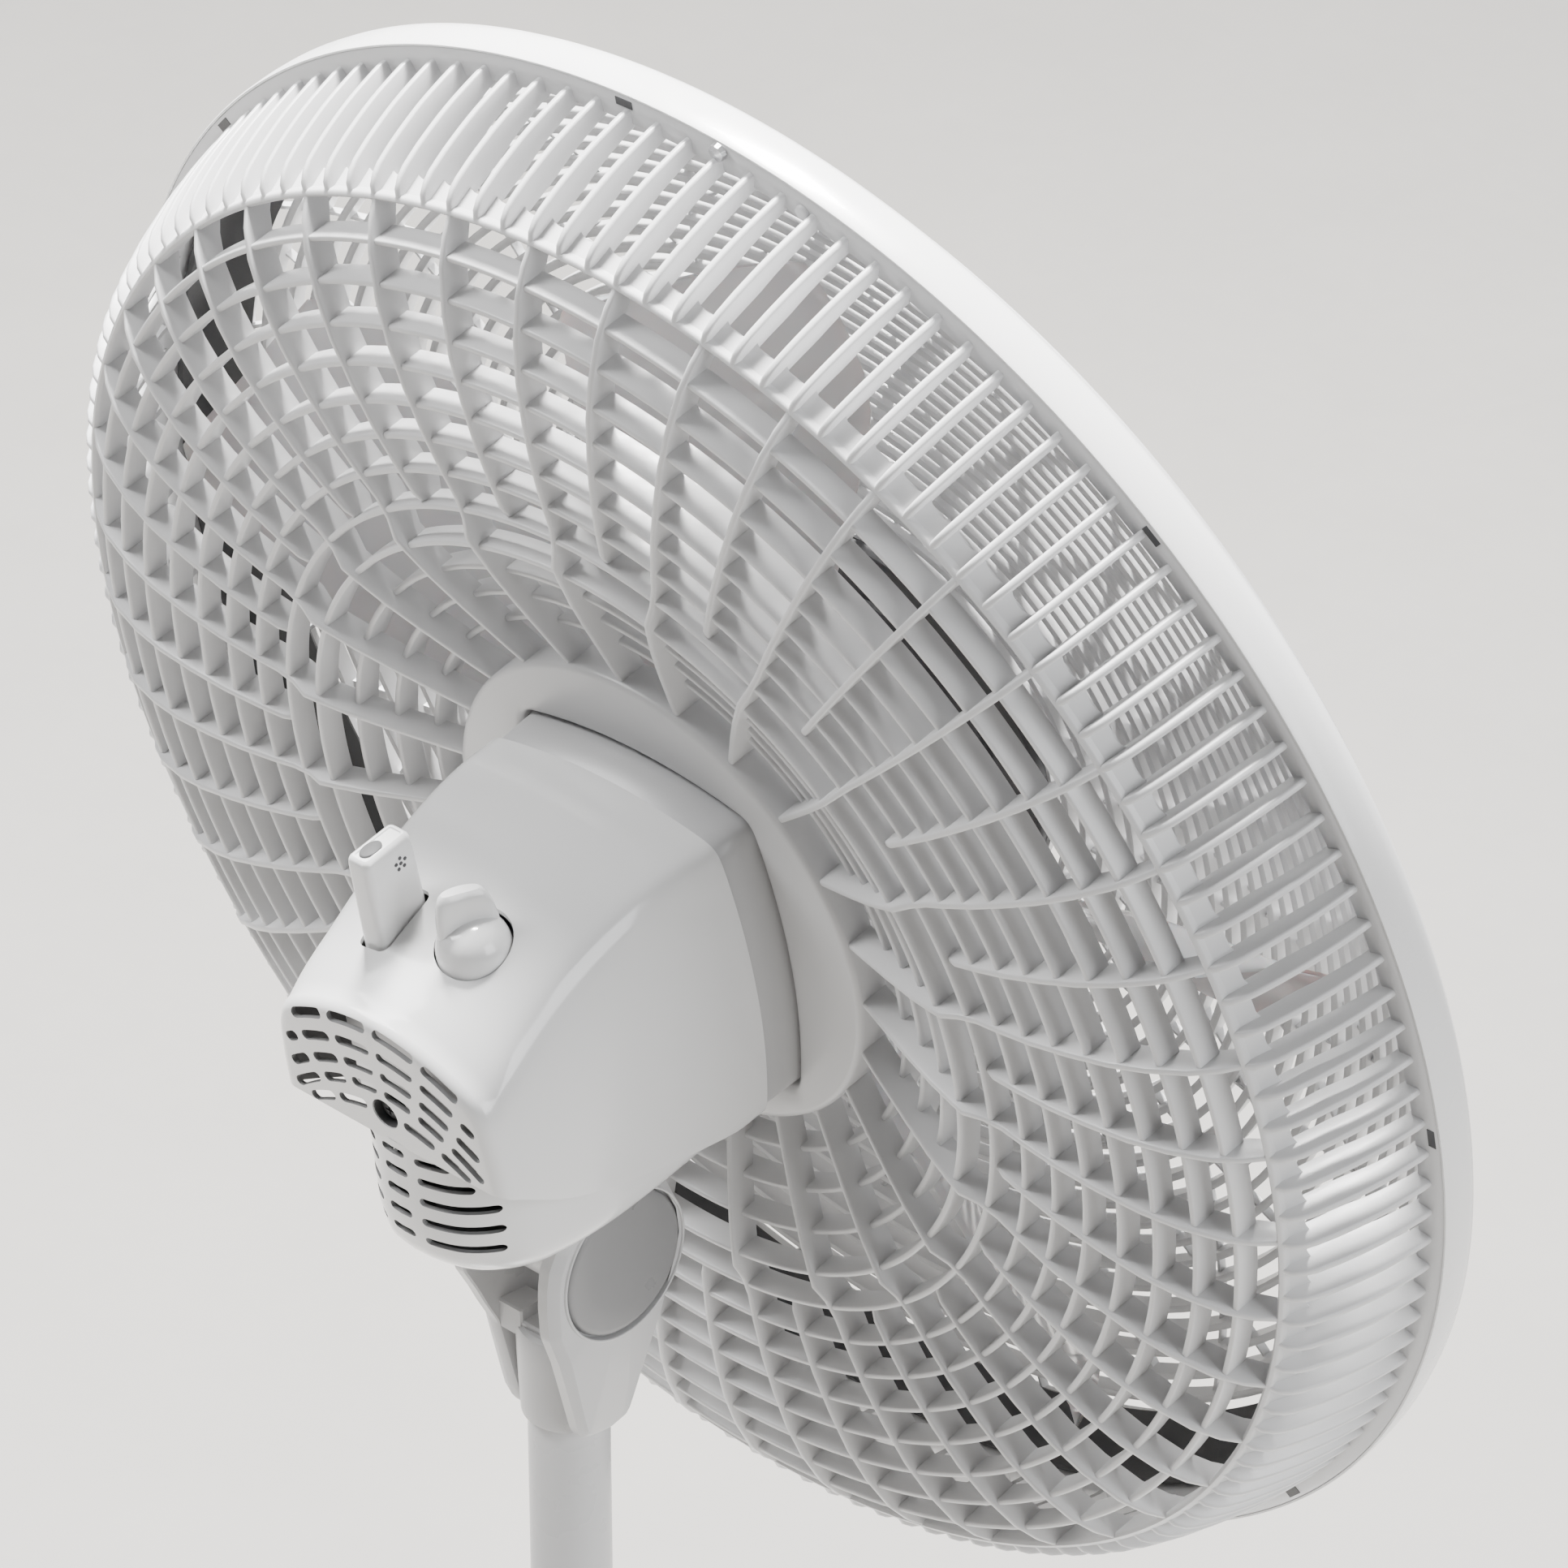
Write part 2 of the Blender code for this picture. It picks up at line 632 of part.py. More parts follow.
# ---------------------------------------------------------------- head: motor and gearbox
def build_motor(motor):
    turn = (math.radians(90), 0, 0)
    rear = -STATOR_REAR
    front = rear + STATOR_LEN
    place(ring("motor_stator", STATOR_R, 0.0230, rear, front, "steel"), motor, rotation=turn)
    coils = (("stator_coil_rear", rear - 0.0090, rear - GAP),
             ("stator_coil_front", front + GAP, front + 0.0090))
    for name, low, high in coils:
        place(ring(name, 0.0350, 0.0240, low, high, "copper"), motor, rotation=turn)
    bearing_r = SHAFT_R + GAP
    end_front = turned("motor_bracket_front", [
        (0.0120, front + 0.0190),
        (0.0390, front + 0.0130),
        (0.0390, front + GAP),
        (0.0365, front + GAP),
        (0.0365, front + 0.0105),
        (0.0120, front + 0.0150),
        (bearing_r, front + 0.0150),
        (bearing_r, front + 0.0190),
    ], "aluminium")
    place(end_front, motor, rotation=turn)
    end_rear = turned("motor_bracket_rear", [
        (0.0120, rear - 0.0150),
        (0.0365, rear - 0.0105),
        (0.0365, rear - GAP),
        (0.0390, rear - GAP),
        (0.0390, rear - 0.0130),
        (0.0120, rear - 0.0190),
        (bearing_r, rear - 0.0190),
        (bearing_r, rear - 0.0150),
    ], "aluminium")
    place(end_rear, motor, rotation=turn)
    thread = ring("guard_thread", THREAD_R, SHAFT_R + 0.0010, front + 0.0194, 0.0235, "gear_nylon")
    place(thread, motor, rotation=turn)


def build_gearbox(motor):
    """Cast box around the worm, open below for the crank, with the boss that the pin turns in."""
    case = box("gearbox_case", (-0.0150, GEARBOX_FRONT, -0.0300), (0.0300, 0.1010, 0.0150), "aluminium")
    room = box("gearbox_room", (-0.0120, 0.0720, -0.0260), (0.0270, 0.0980, 0.0120), cutter=True)
    way = rod("gearbox_shaft_way", SHAFT_R + 0.0008, -0.08, -0.04, None, 12, cutter=True)
    place(way, motor, rotation=(math.radians(90), 0, 0))
    bore = rod("pin_bore", OSC_PIN_R + GAP, -0.0700, -0.0355, None, 12, cutter=True)
    place(bore, motor, (0, BELT_FWD, 0))
    boss = rod("pin_boss", PIN_BOSS_R, -0.0560, -0.0250, None, 16)
    join(case, boss)
    boss.parent = motor
    boss.location = (0, BELT_FWD, 0)
    spindle = rod("gearbox_spindle_way", SPINDLE_R + GAP, -0.04, -0.02, None, 12, cutter=True)
    place(spindle, motor, (GEAR_OFFSET, WORM_MID, 0))
    place(room, motor)
    place(cut(case, room, way, bore, spindle), motor)

    place(box("capacitor", (-0.0400, 0.0600, -0.0200), (-0.0260, 0.0920, 0.0080), "dark_plastic", 0.002),
          motor)
    place(box("speed_switch", (KNOB_SIDE - 0.0120, KNOB_BEHIND - 0.0120, 0.0170),
              (KNOB_SIDE + 0.0120, KNOB_BEHIND + 0.0100, 0.0290), "dark_plastic", 0.0015), motor)


def build_rotor(spin):
    shaft = rod("motor_shaft", SHAFT_R, -SHAFT_REAR, -SHAFT_FRONT, "steel")
    place(shaft, spin)
    core_rear = -STATOR_REAR + 0.0010
    core = ring("rotor_core", 0.0225, SHAFT_R + GAP, core_rear, core_rear + STATOR_LEN - 0.002, "steel")
    place(core, spin)


def blade_surface():
    """One blade as rows of points from root to tip; it runs from its rear edge to its front edge."""
    rows = []
    across = 3
    radii = (BLADE_ROOT_R, 0.070, 0.120, 0.170, BLADE_TIP_R)
    for radius in radii:
        share = (radius - BLADE_ROOT_R) / (BLADE_TIP_R - BLADE_ROOT_R)
        width = 29.0 - 6.0 * share
        trim = 9.0 * max(0.0, (radius - 0.165) / 0.050) ** 2
        depth = 1.0 - 0.30 * (1.0 - share) ** 2
        row = []
        for step in range(across + 1):
            chord = step / across
            degrees = BLADE_PHASE + trim + (width - trim) * chord
            middle = (BLADE_FRONT + BLADE_REAR) / 2
            swing = (BLADE_FRONT - BLADE_REAR) / 2 * depth
            camber = 0.0050 * math.sin(math.pi * chord)
            row.append(polar(radius, degrees, middle + swing * (1 - 2 * chord) + camber))
        rows.append(row)
    return rows


def build_blades(spin):
    hub = turned("fan_blades", [
        (0.0200, BLADE_FRONT + 0.0040),
        (BLADE_HUB_R - 0.0030, BLADE_FRONT + 0.0010),
        (BLADE_HUB_R, BLADE_FRONT - 0.0040),
        (BLADE_HUB_R, BLADE_REAR + 0.0060),
        (BLADE_HUB_R - 0.0025, BLADE_REAR + 0.0060),
        (BLADE_HUB_R - 0.0030, BLADE_FRONT - 0.0045),
        (0.0200, BLADE_FRONT - 0.0010),
        (0.0110, BLADE_FRONT - 0.0010),
        (0.0095, BLADE_REAR + 0.0140),
        (SHAFT_R + GAP, BLADE_REAR + 0.0140),
        (SHAFT_R + GAP, BLADE_FRONT + 0.0040),
    ], "blade_grey", 30)
    place(hub, spin)
    for index in range(BLADE_COUNT):
        built = bmesh.new()
        rows = [[built.verts.new(point) for point in row] for row in blade_surface()]
        for a, b in zip(rows, rows[1:]):
            for i in range(len(a) - 1):
                built.faces.new((a[i], a[i + 1], b[i + 1], b[i]))
        turn = Matrix.Rotation(math.radians(-360 * index / BLADE_COUNT), 3, "Z")
        bmesh.ops.rotate(built, matrix=turn, verts=built.verts)
        blade = finish_mesh("blade_%d" % (index + 1), built)
        thick = blade.modifiers.new("thickness", "SOLIDIFY")
        thick.thickness = BLADE_THICK
        thick.offset = 0.0
        join(hub, blade)
        blade.parent = spin
    core = ring("hub_clear", BLADE_HUB_R - 0.0030, 0.0130, BLADE_REAR - 0.01, BLADE_FRONT - 0.0080, None, 30,
                cutter=True)
    place(core, spin)
    cut(hub, core)
    nut = turned("blade_nut", [
        (0.0, BLADE_FRONT + 0.0180),
        (0.0100, BLADE_FRONT + 0.0160),
        (0.0130, BLADE_FRONT + 0.0048),
        (SHAFT_R + GAP, BLADE_FRONT + 0.0048),
        (SHAFT_R + GAP, BLADE_FRONT + 0.0150),
        (0.0, BLADE_FRONT + 0.0150),
    ], "dark_plastic", 20, closed=False)
    place(nut, spin)


def build_gears(worm_axis, crank_axis, link_axis):
    """Worm gear on a spindle whose pinion, under the box, drives the crank gear and its link."""
    gear = rod("worm_gear", GEAR_R, -0.0060, 0.0060, "gear_nylon", 20)
    spindle = rod("worm_gear_spindle", SPINDLE_R, CRANK_TOP - 0.0010, -0.0050)
    pinion = rod("worm_gear_pinion", PINION_R, CRANK_TOP - 0.0040, CRANK_TOP)
    join(gear, spindle, pinion)
    for item in (gear, spindle, pinion):
        item.parent = worm_axis
    crank = rod("crank_gear", CRANK_GEAR_R, -0.0040, -GAP, "gear_nylon", 24)
    pin = rod("crank_gear_pin", 0.0018, LINK_TOP - CRANK_TOP + 0.0008, -0.0030)
    join(crank, pin)
    place(pin, crank_axis, (-CRANK_THROW, 0, 0))
    place(crank, crank_axis)
    ahead = WORM_MID - BELT_FWD
    aside = GEAR_OFFSET - CRANK_OFFSET - CRANK_THROW - LINK_ARM_SIDE
    low = (-0.0030, -0.0035, -LINK_THICK)
    high = (0.0030, math.hypot(ahead, aside) + 0.0030, 0.0)
    link = box("crank_link", low, high, "steel", 0.0005)
    place(link, link_axis, rotation=(0, 0, -math.atan2(aside, ahead)))


# ---------------------------------------------------------------- head: guards
def build_guards(guard):
    grille = lattice("rear_guard", REAR_PROFILE, RIB_COUNT, RIB_PHASE, "guard_white")
    flange = ring("flange_ring", FLANGE_OUT, THREAD_R + 0.0015, FLANGE_REAR, 0.0108, None, 46)
    rim = ring("rear_rim", RIM_R, RIM_R - 0.0070, RIM_REAR, RIM_SPLIT - GAP, None, 46)
    for item in (flange, rim):
        join(grille, item)
        item.parent = guard
    pocket = loft("flange_pocket", [
        collar_section(0.0200, -GAP),
        collar_section(-COLLAR_FWD - GAP, -GAP),
    ], cutter=True)
    place(pocket, guard, rotation=(math.radians(-90), 0, 0))
    place(cut(grille, pocket), guard)
    nut = turned("guard_nut", [
        (0.0240, 0.0190),
        (0.0255, 0.0114),
        (THREAD_R + GAP, 0.0114),
        (THREAD_R + GAP, 0.0190),
    ], "dark_plastic", 20)
    place(nut, guard)

    grille = lattice("front_guard", FRONT_PROFILE, FRONT_RIBS, FRONT_PHASE, "guard_white")
    rim = turned("front_rim", [
        (RIM_R - 0.0050, RIM_FRONT),
        (RIM_R - 0.0012, RIM_FRONT - 0.0030),
        (RIM_R, RIM_FRONT - 0.0080),
        (RIM_R, RIM_SPLIT),
        (RIM_R - 0.0080, RIM_SPLIT),
        (RIM_R - 0.0090, RIM_FRONT),
    ], None, 46)
    centre = ring("centre_ring", CENTRE_R, CENTRE_R - 0.0110, 0.1020, 0.1076, None, 46)
    for item in (rim, centre):
        join(grille, item)
        item.parent = guard
    place(grille, guard)
    badge = turned("badge_cap", [
        (0.0, 0.1115),
        (CENTRE_R - 0.0060, 0.1100),
        (CENTRE_R - 0.0010, 0.1080),
        (CENTRE_R - 0.0115, 0.1080),
        (CENTRE_R - 0.0115, 0.1030),
        (0.0, 0.1030),
    ], "dark_plastic", 36, closed=False)
    place(badge, guard)
    screw = turned("rim_screw", [
        (0.0, RIM_REAR - GAP),
        (0.0030, RIM_REAR - GAP),
        (0.0026, RIM_REAR - 0.0020),
        (0.0, RIM_REAR - 0.0024),
    ], "steel", 12, closed=False)
    x, y, forward = polar(RIM_R - 0.0035, SCREW_ANGLE, 0.0)
    place(screw, guard, (x, y, forward))


# ---------------------------------------------------------------- controls
def build_controls(knob_axis, pull_axis):
    knob = turned("speed_knob", [
        (0.0, 0.0160),
        (0.0070, 0.0145),
        (0.0105, 0.0090),
        (0.0110, 0.0030),
        (0.0095, 0.0),
        (0.0, 0.0),
    ], "housing_white", 20, closed=False)
    fin = box("knob_fin", (-0.0020, -0.0110, 0.0040), (0.0020, 0.0110, 0.0210))
    stem = rod("knob_stem", 0.0035, -0.0175, 0.0010)
    place(join(knob, fin, stem), knob_axis)
    for item in (fin, stem):
        item.parent = knob_axis
    low, high = (-0.0052, -0.0102, -0.0150), (0.0052, 0.0102, 0.0300)
    stem = box("oscillation_pull", low, high, "housing_white", 0.0020)
    place(stem, pull_axis)


# ---------------------------------------------------------------- assembly
clear_scene()
parts = make_collection(COLLECTION)
cutters = make_collection("cutters", hidden=True)
materials = make_materials()

stand_frame = empty("stand_frame")
lock_frame = empty("lock_ring_axis", (0, 0, LOCK_RING_BOTTOM))
mast_frame = empty("mast_axis", (0, 0, PIVOT_Z))
tilt_frame = empty("tilt_axis", (0, 0, 0), mast_frame, math.radians(-HEAD_TILT))
motor_frame = empty("motor_frame", (0, -BELT_FWD, AXIS_UP), tilt_frame)
guard_frame = empty("fan_axis", (0, 0, 0), motor_frame, math.radians(90))
spin_frame = empty("rotor_axis", (0, 0, 0), motor_frame, math.radians(90))
worm_frame = empty("worm_gear_axis", (GEAR_OFFSET, WORM_MID, 0), motor_frame)
crank_frame = empty("crank_axis", (GEAR_OFFSET - CRANK_OFFSET, WORM_MID, CRANK_TOP), motor_frame)
link_frame = empty("crank_link_axis", (LINK_ARM_SIDE, 0, AXIS_UP + LINK_TOP), tilt_frame)
knob_frame = empty("knob_axis", (KNOB_SIDE, KNOB_BEHIND, 0.0470), motor_frame)
pull_frame = empty("pull_axis", (PULL_SIDE, PULL_BEHIND, 0.0430), motor_frame)

build_base(stand_frame)
build_pole(stand_frame, lock_frame, mast_frame)
build_neck(mast_frame)
build_knuckle(tilt_frame)
build_housings(motor_frame)
build_motor(motor_frame)
build_gearbox(motor_frame)
build_rotor(spin_frame)
build_blades(spin_frame)
build_gears(worm_frame, crank_frame, link_frame)
build_guards(guard_frame)
build_controls(knob_frame, pull_frame)
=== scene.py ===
"""Looks of the pedestal fan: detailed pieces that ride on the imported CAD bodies. Metres, row frame."""
import math

import bmesh
import bpy
import numpy as np
from mathutils import Matrix, Vector


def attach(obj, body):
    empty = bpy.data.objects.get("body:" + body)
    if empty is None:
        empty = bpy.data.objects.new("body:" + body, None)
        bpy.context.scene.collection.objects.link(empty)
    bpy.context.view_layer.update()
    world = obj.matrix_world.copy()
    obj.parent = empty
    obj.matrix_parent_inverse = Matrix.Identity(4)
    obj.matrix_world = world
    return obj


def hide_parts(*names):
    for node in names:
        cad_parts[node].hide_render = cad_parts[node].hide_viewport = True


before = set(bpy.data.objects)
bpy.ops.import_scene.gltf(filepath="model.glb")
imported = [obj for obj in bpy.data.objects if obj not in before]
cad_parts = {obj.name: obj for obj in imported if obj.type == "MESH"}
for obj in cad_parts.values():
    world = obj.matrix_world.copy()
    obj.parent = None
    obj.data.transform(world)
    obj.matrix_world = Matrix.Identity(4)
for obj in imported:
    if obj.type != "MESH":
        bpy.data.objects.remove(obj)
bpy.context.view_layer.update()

# ---------------------------------------------------------------- frames and main dimensions
PIVOT_Z = 0.828
TILT = math.radians(-11.5)
BELT_FWD = 0.0613
AXIS_UP = 0.0915
MAST = Matrix.Translation((0, 0, PIVOT_Z))
HEAD = MAST @ Matrix.Rotation(TILT, 4, "X")
MOTOR = HEAD @ Matrix.Translation((0, -BELT_FWD, AXIS_UP))    # x, behind the belt ring, above the fan axis

RIBS = 46
PITCH = 360 / RIBS
RIB_PHASE = 152.99
RIM_STEPS = 276                # steps round the rim and the rear guard's slats

# slots in the housing, and where the controls stand on it: (x, behind the belt)
REAR_SLOT = 0.00175            # half widths
GEAR_SLOT = 0.00145
KNOB_SPOT = (-0.0120, 0.0815)
PULL_SPOT = (0.0170, 0.0855)
INLET_SPOT = (0.0300, 0.0330)
SHELL_WALL = 0.0016
COVER_WALL = 0.0014


def mm(rows):
    """Rows of millimetres as rows of metres."""
    return [tuple(round(v / 1000, 6) for v in row) for row in rows]


def circle(radius, count, x=0.0, y=0.0):
    angles = np.linspace(0, 2 * math.pi, count, False)
    return [(radius * math.cos(a) + x, radius * math.sin(a) + y) for a in angles]


def lathe(profile, steps):
    """Rows of a closed profile of (radius, height) turned about Z."""
    rows = []
    for k in range(steps):
        a = 2 * math.pi * k / steps
        rows.append([(r * math.cos(a), r * math.sin(a), z) for r, z in profile])
    return rows


def polar(radius, degrees, forward):
    """Point in the motor frame: 90 degrees is up in the head, 0 is the -X side."""
    angle = np.radians(degrees)
    return (-radius * np.cos(angle), -forward, radius * np.sin(angle))


# ---------------------------------------------------------------- materials
def ramp(nodes, low, high, dark, light):
    node = nodes.new("ShaderNodeValToRGB")
    node.color_ramp.elements[0].position = low
    node.color_ramp.elements[1].position = high
    node.color_ramp.elements[0].color = (*dark, 1)
    node.color_ramp.elements[1].color = (*light, 1)
    return node


def plastic(name, colour, rough, grain=900.0, bump=0.05, spread=0.06, metallic=0.0, coat=0.0, wear=0.10,
            mottle=0.025, stretch=(1, 1, 1), subsurface=0.0):
    """Moulded or metal surface: fine grain, uneven gloss, faint mottling and rubbed edges."""
    made = bpy.data.materials.new(name)
    made.use_nodes = True
    tree = made.node_tree
    nodes, links = tree.nodes, tree.links
    shader = nodes["Principled BSDF"]
    shader.inputs["Metallic"].default_value = metallic
    shader.inputs["Specular IOR Level"].default_value = 0.5
    shader.inputs["Coat Weight"].default_value = coat
    shader.inputs["Coat Roughness"].default_value = 0.08
    shader.inputs["Subsurface Weight"].default_value = subsurface
    shader.inputs["Subsurface Scale"].default_value = 0.004
    where = nodes.new("ShaderNodeTexCoord")
    mapping = nodes.new("ShaderNodeMapping")
    mapping.inputs["Scale"].default_value = stretch
    links.new(where.outputs["Object"], mapping.inputs["Vector"])

    def noise(scale, detail):
        node = nodes.new("ShaderNodeTexNoise")
        node.inputs["Scale"].default_value = scale
        node.inputs["Detail"].default_value = detail
        links.new(mapping.outputs["Vector"], node.inputs["Vector"])
        return node

    broad = noise(9.0, 4.0)
    fine = noise(grain, 3.0)
    scuff = noise(60.0, 6.0)
    tint = ramp(nodes, 0.3, 0.7, [c * (1 - mottle) for c in colour],
                [min(1, c * (1 + mottle)) for c in colour])
    links.new(broad.outputs["Fac"], tint.inputs["Fac"])
    shape = nodes.new("ShaderNodeNewGeometry")
    edge = ramp(nodes, 0.52, 0.62, (0, 0, 0), (wear, wear, wear))
    links.new(shape.outputs["Pointiness"], edge.inputs["Fac"])
    rub = nodes.new("ShaderNodeMix")
    rub.data_type = "RGBA"
    light = [min(1, c * 1.12 + 0.03) for c in colour]
    rub.inputs["B"].default_value = (*light, 1)
    links.new(edge.outputs["Color"], rub.inputs["Factor"])
    links.new(tint.outputs["Color"], rub.inputs["A"])
    links.new(rub.outputs["Result"], shader.inputs["Base Color"])
    gloss = nodes.new("ShaderNodeMapRange")
    gloss.inputs["From Min"].default_value = 0.3
    gloss.inputs["From Max"].default_value = 0.7
    gloss.inputs["To Min"].default_value = max(0.03, rough - spread)
    gloss.inputs["To Max"].default_value = rough + spread
    links.new(scuff.outputs["Fac"], gloss.inputs["Value"])
    links.new(gloss.outputs["Result"], shader.inputs["Roughness"])
    dent = nodes.new("ShaderNodeBump")
    dent.inputs["Strength"].default_value = bump
    dent.inputs["Distance"].default_value = 0.0004
    links.new(fine.outputs["Fac"], dent.inputs["Height"])
    links.new(dent.outputs["Normal"], shader.inputs["Normal"])
    return made


LOOKS = {
    "housing": plastic("housing_gloss", (0.80, 0.80, 0.80), 0.16, bump=0.02, spread=0.04, coat=0.35,
                       mottle=0.012),
    # painted shade: the motor collar is housing plastic, greyed for the shade in its recess behind the flange
    "collar": plastic("collar_satin_painted_shade", (0.50, 0.50, 0.505), 0.30, grain=1200, bump=0.04, coat=0.1,
                      spread=0.02),
    # painted shade: mid grey on the walls of the slots cut through the white housings
    "slot_wall_shade": plastic("recess_shade", (0.30, 0.30, 0.302), 0.55, bump=0.08),
    # painted shade: near black on the inner faces of the white housings
    "inner_wall_shade": plastic("inside_shade", (0.10, 0.10, 0.102), 0.55, bump=0.08),
    "guard": plastic("guard_satin", (0.66, 0.66, 0.665), 0.34, grain=1400, bump=0.06, coat=0.08),
    "rim": plastic("rim_white", (0.88, 0.88, 0.88), 0.26, bump=0.03, coat=0.15, mottle=0.01),
    "blade": plastic("blade_gloss", (0.58, 0.58, 0.59), 0.14, bump=0.03, coat=0.4, subsurface=0.12),
    "neck": plastic("neck_satin", (0.56, 0.56, 0.565), 0.33, grain=1200, bump=0.06, coat=0.06),
    "cover": plastic("pivot_disc", (0.25, 0.25, 0.254), 0.32, bump=0.04, coat=0.1),
    "dark_plastic": plastic("dark_moulding", (0.048, 0.048, 0.050), 0.42, bump=0.10),
    "pole": plastic("pole_paint", (0.68, 0.68, 0.685), 0.28, grain=500, bump=0.05, coat=0.25),
    "steel": plastic("steel_plain", (0.56, 0.56, 0.57), 0.30, grain=700, bump=0.08, metallic=1.0,
                     stretch=(1, 1, 14)),
    # zinc screws darkened to near black: painted shade of the rear screw's recess
    "screw": plastic("screw_zinc_painted_shade", (0.035, 0.035, 0.037), 0.50, grain=900, bump=0.12, metallic=0.4),
    "cast_weight": plastic("cast_iron", (0.10, 0.10, 0.105), 0.72, grain=260, bump=0.5, metallic=0.4,
                           mottle=0.12),
    "rubber": plastic("foot_rubber", (0.035, 0.035, 0.036), 0.82, grain=500, bump=0.25),
    "aluminium": plastic("die_cast", (0.60, 0.60, 0.61), 0.46, grain=420, bump=0.2, metallic=1.0),
    "copper": plastic("winding", (0.48, 0.19, 0.085), 0.34, grain=300, bump=0.3, metallic=0.8,
                      stretch=(8, 8, 1)),
    "gear_nylon": plastic("nylon", (0.74, 0.71, 0.60), 0.44, bump=0.08, subsurface=0.1),
    # dark inset grey; also used as painted shade in the rear screw's recess
    "inset": plastic("inset_grey_and_recess_shade", (0.07, 0.07, 0.072), 0.72, bump=0.08),
    "floor": plastic("floor_pale", (0.40, 0.388, 0.37), 0.62, grain=220, bump=0.06, mottle=0.02, wear=0.0),
}


# ---------------------------------------------------------------- mesh helpers
def weld(mesh, join=True, dissolve=False):
    """Joins doubled points if asked, and turns all faces outward."""
    built = bmesh.new()
    built.from_mesh(mesh)
    if join:
        bmesh.ops.remove_doubles(built, verts=built.verts, dist=1e-7)
    if dissolve:
        bmesh.ops.dissolve_degenerate(built, edges=built.edges, dist=1e-7)
    bmesh.ops.recalc_face_normals(built, faces=built.faces)
    built.to_mesh(mesh)
    built.free()
    return mesh


def link(name, mesh):
    item = bpy.data.objects.new(name, mesh)
    bpy.context.scene.collection.objects.link(item)
    return item


def finish(name, mesh, look, body, place=None, replaces=(), slot=None, sharp=38, bevel=0.0):
    """Puts the mesh in the scene as one piece that rides a body."""
    if place is not None:
        mesh.transform(place)
    mesh.shade_smooth()
    mesh.set_sharp_from_angle(angle=math.radians(sharp))
    if not mesh.materials:
        mesh.materials.append(LOOKS[look])
    item = link(name, mesh)
    if bevel:
        edge = item.modifiers.new("edge", "BEVEL")
        edge.width = bevel
        edge.segments = 2
        edge.limit_method = "ANGLE"
        edge.angle_limit = math.radians(32)
        edge.harden_normals = True
    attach(item, body)
    if replaces:
        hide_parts(*replaces)


class Solid:
    """Collects closed bodies of one piece."""

    def __init__(self):
        self.verts = []
        self.faces = []

    def add(self, verts, faces):
        start = len(self.verts)
        self.verts.extend(tuple(float(c) for c in v) for v in verts)
        self.faces.extend(tuple(i + start for i in f) for f in faces)

    def rows(self, rows, wrap=True, caps=True, loop=False):
        """Skin over rows of points. wrap closes each row, loop joins the last row to the first."""
        count = len(rows[0])
        faces = []
        last = len(rows) if loop else len(rows) - 1
        for a in range(last):
            b = (a + 1) % len(rows)
            for i in range(count if wrap else count - 1):
                j = (i + 1) % count
                faces.append((a * count + i, a * count + j, b * count + j, b * count + i))
        if caps and not loop:
            faces.append(tuple(range(count)))
            faces.append(tuple(range((len(rows) - 1) * count, len(rows) * count)))
        self.add([v for row in rows for v in row], faces)

    def turn(self, profile, steps):
        """Closed profile of (radius, forward) turned about the fan axis."""
        self.rows([[polar(r, 360.0 * k / steps, w) for r, w in profile] for k in range(steps)], loop=True)

    def mesh(self, name):
        made = bpy.data.meshes.new(name)
        made.from_pydata(self.verts, [], self.faces)
        return made

    def make(self, name, look, body, **options):
        finish(name, weld(self.mesh(name)), look, body, **options)


def turned(name, profile, look, body, place, replaces=(), steps=96):
    """Profile of (radius, height) turned about Z; points on the axis become caps."""
    solid = Solid()
    solid.rows(lathe(profile, steps), loop=True)
    finish(name, weld(solid.mesh(name), dissolve=True), look, body, place, replaces)


def spline(points, count):
    """Smooth curve through points (rows of numbers), evenly by chord length."""
    points = np.array(points, float)
    reach = np.concatenate([[0], np.cumsum(np.linalg.norm(np.diff(points, axis=0), axis=1))])
    slopes = np.gradient(points, reach, axis=0)
    out = []
    for s in np.linspace(0, reach[-1], count):
        i = min(int(np.searchsorted(reach, s, side="right")) - 1, len(points) - 2)
        i = max(i, 0)
        width = reach[i + 1] - reach[i]
        t = (s - reach[i]) / width
        a, b = points[i], points[i + 1]
        m, n = slopes[i] * width, slopes[i + 1] * width
        out.append((2 * t**3 - 3 * t**2 + 1) * a + (t**3 - 2 * t**2 + t) * m
                   + (3 * t**2 - 2 * t**3) * b + (t**3 - t**2) * n)
    return np.array(out)


def plate_section(half, depth, base):
    """Cross-section of a rib: rounded outer edge at 0, running in to depth."""
    return [(-base, depth), (-half, 0.55 * half), (-0.72 * half, 0.14 * half), (-0.30 * half, 0.0),
            (0.30 * half, 0.0), (0.72 * half, 0.14 * half), (half, 0.55 * half), (base, depth)]


def radial_rib(solid, profile, degrees, half, depths, lean=None):
    """Plate on a plane through the fan axis; profile is its outer edge as (radius, forward)."""
    rows = []
    across = np.radians(degrees)
    radial = np.array([-math.cos(across), 0.0, math.sin(across)])
    side = np.array([math.sin(across), 0.0, math.cos(across)])
    ahead = np.array([0.0, -1.0, 0.0])
    tangents = np.gradient(profile, axis=0)
    for (r, w), (dr, dw), depth in zip(profile, tangents, depths):
        length = math.hypot(dr, dw)
        inward = radial * (-dw / length) + ahead * (dr / length)
        if lean is not None:
            inward = radial * lean[0] + ahead * lean[1]
        middle = radial * r + ahead * w
        rows.append([middle + side * a + inward * b for a, b in plate_section(half, depth, half * 1.12)])
    solid.rows(rows)


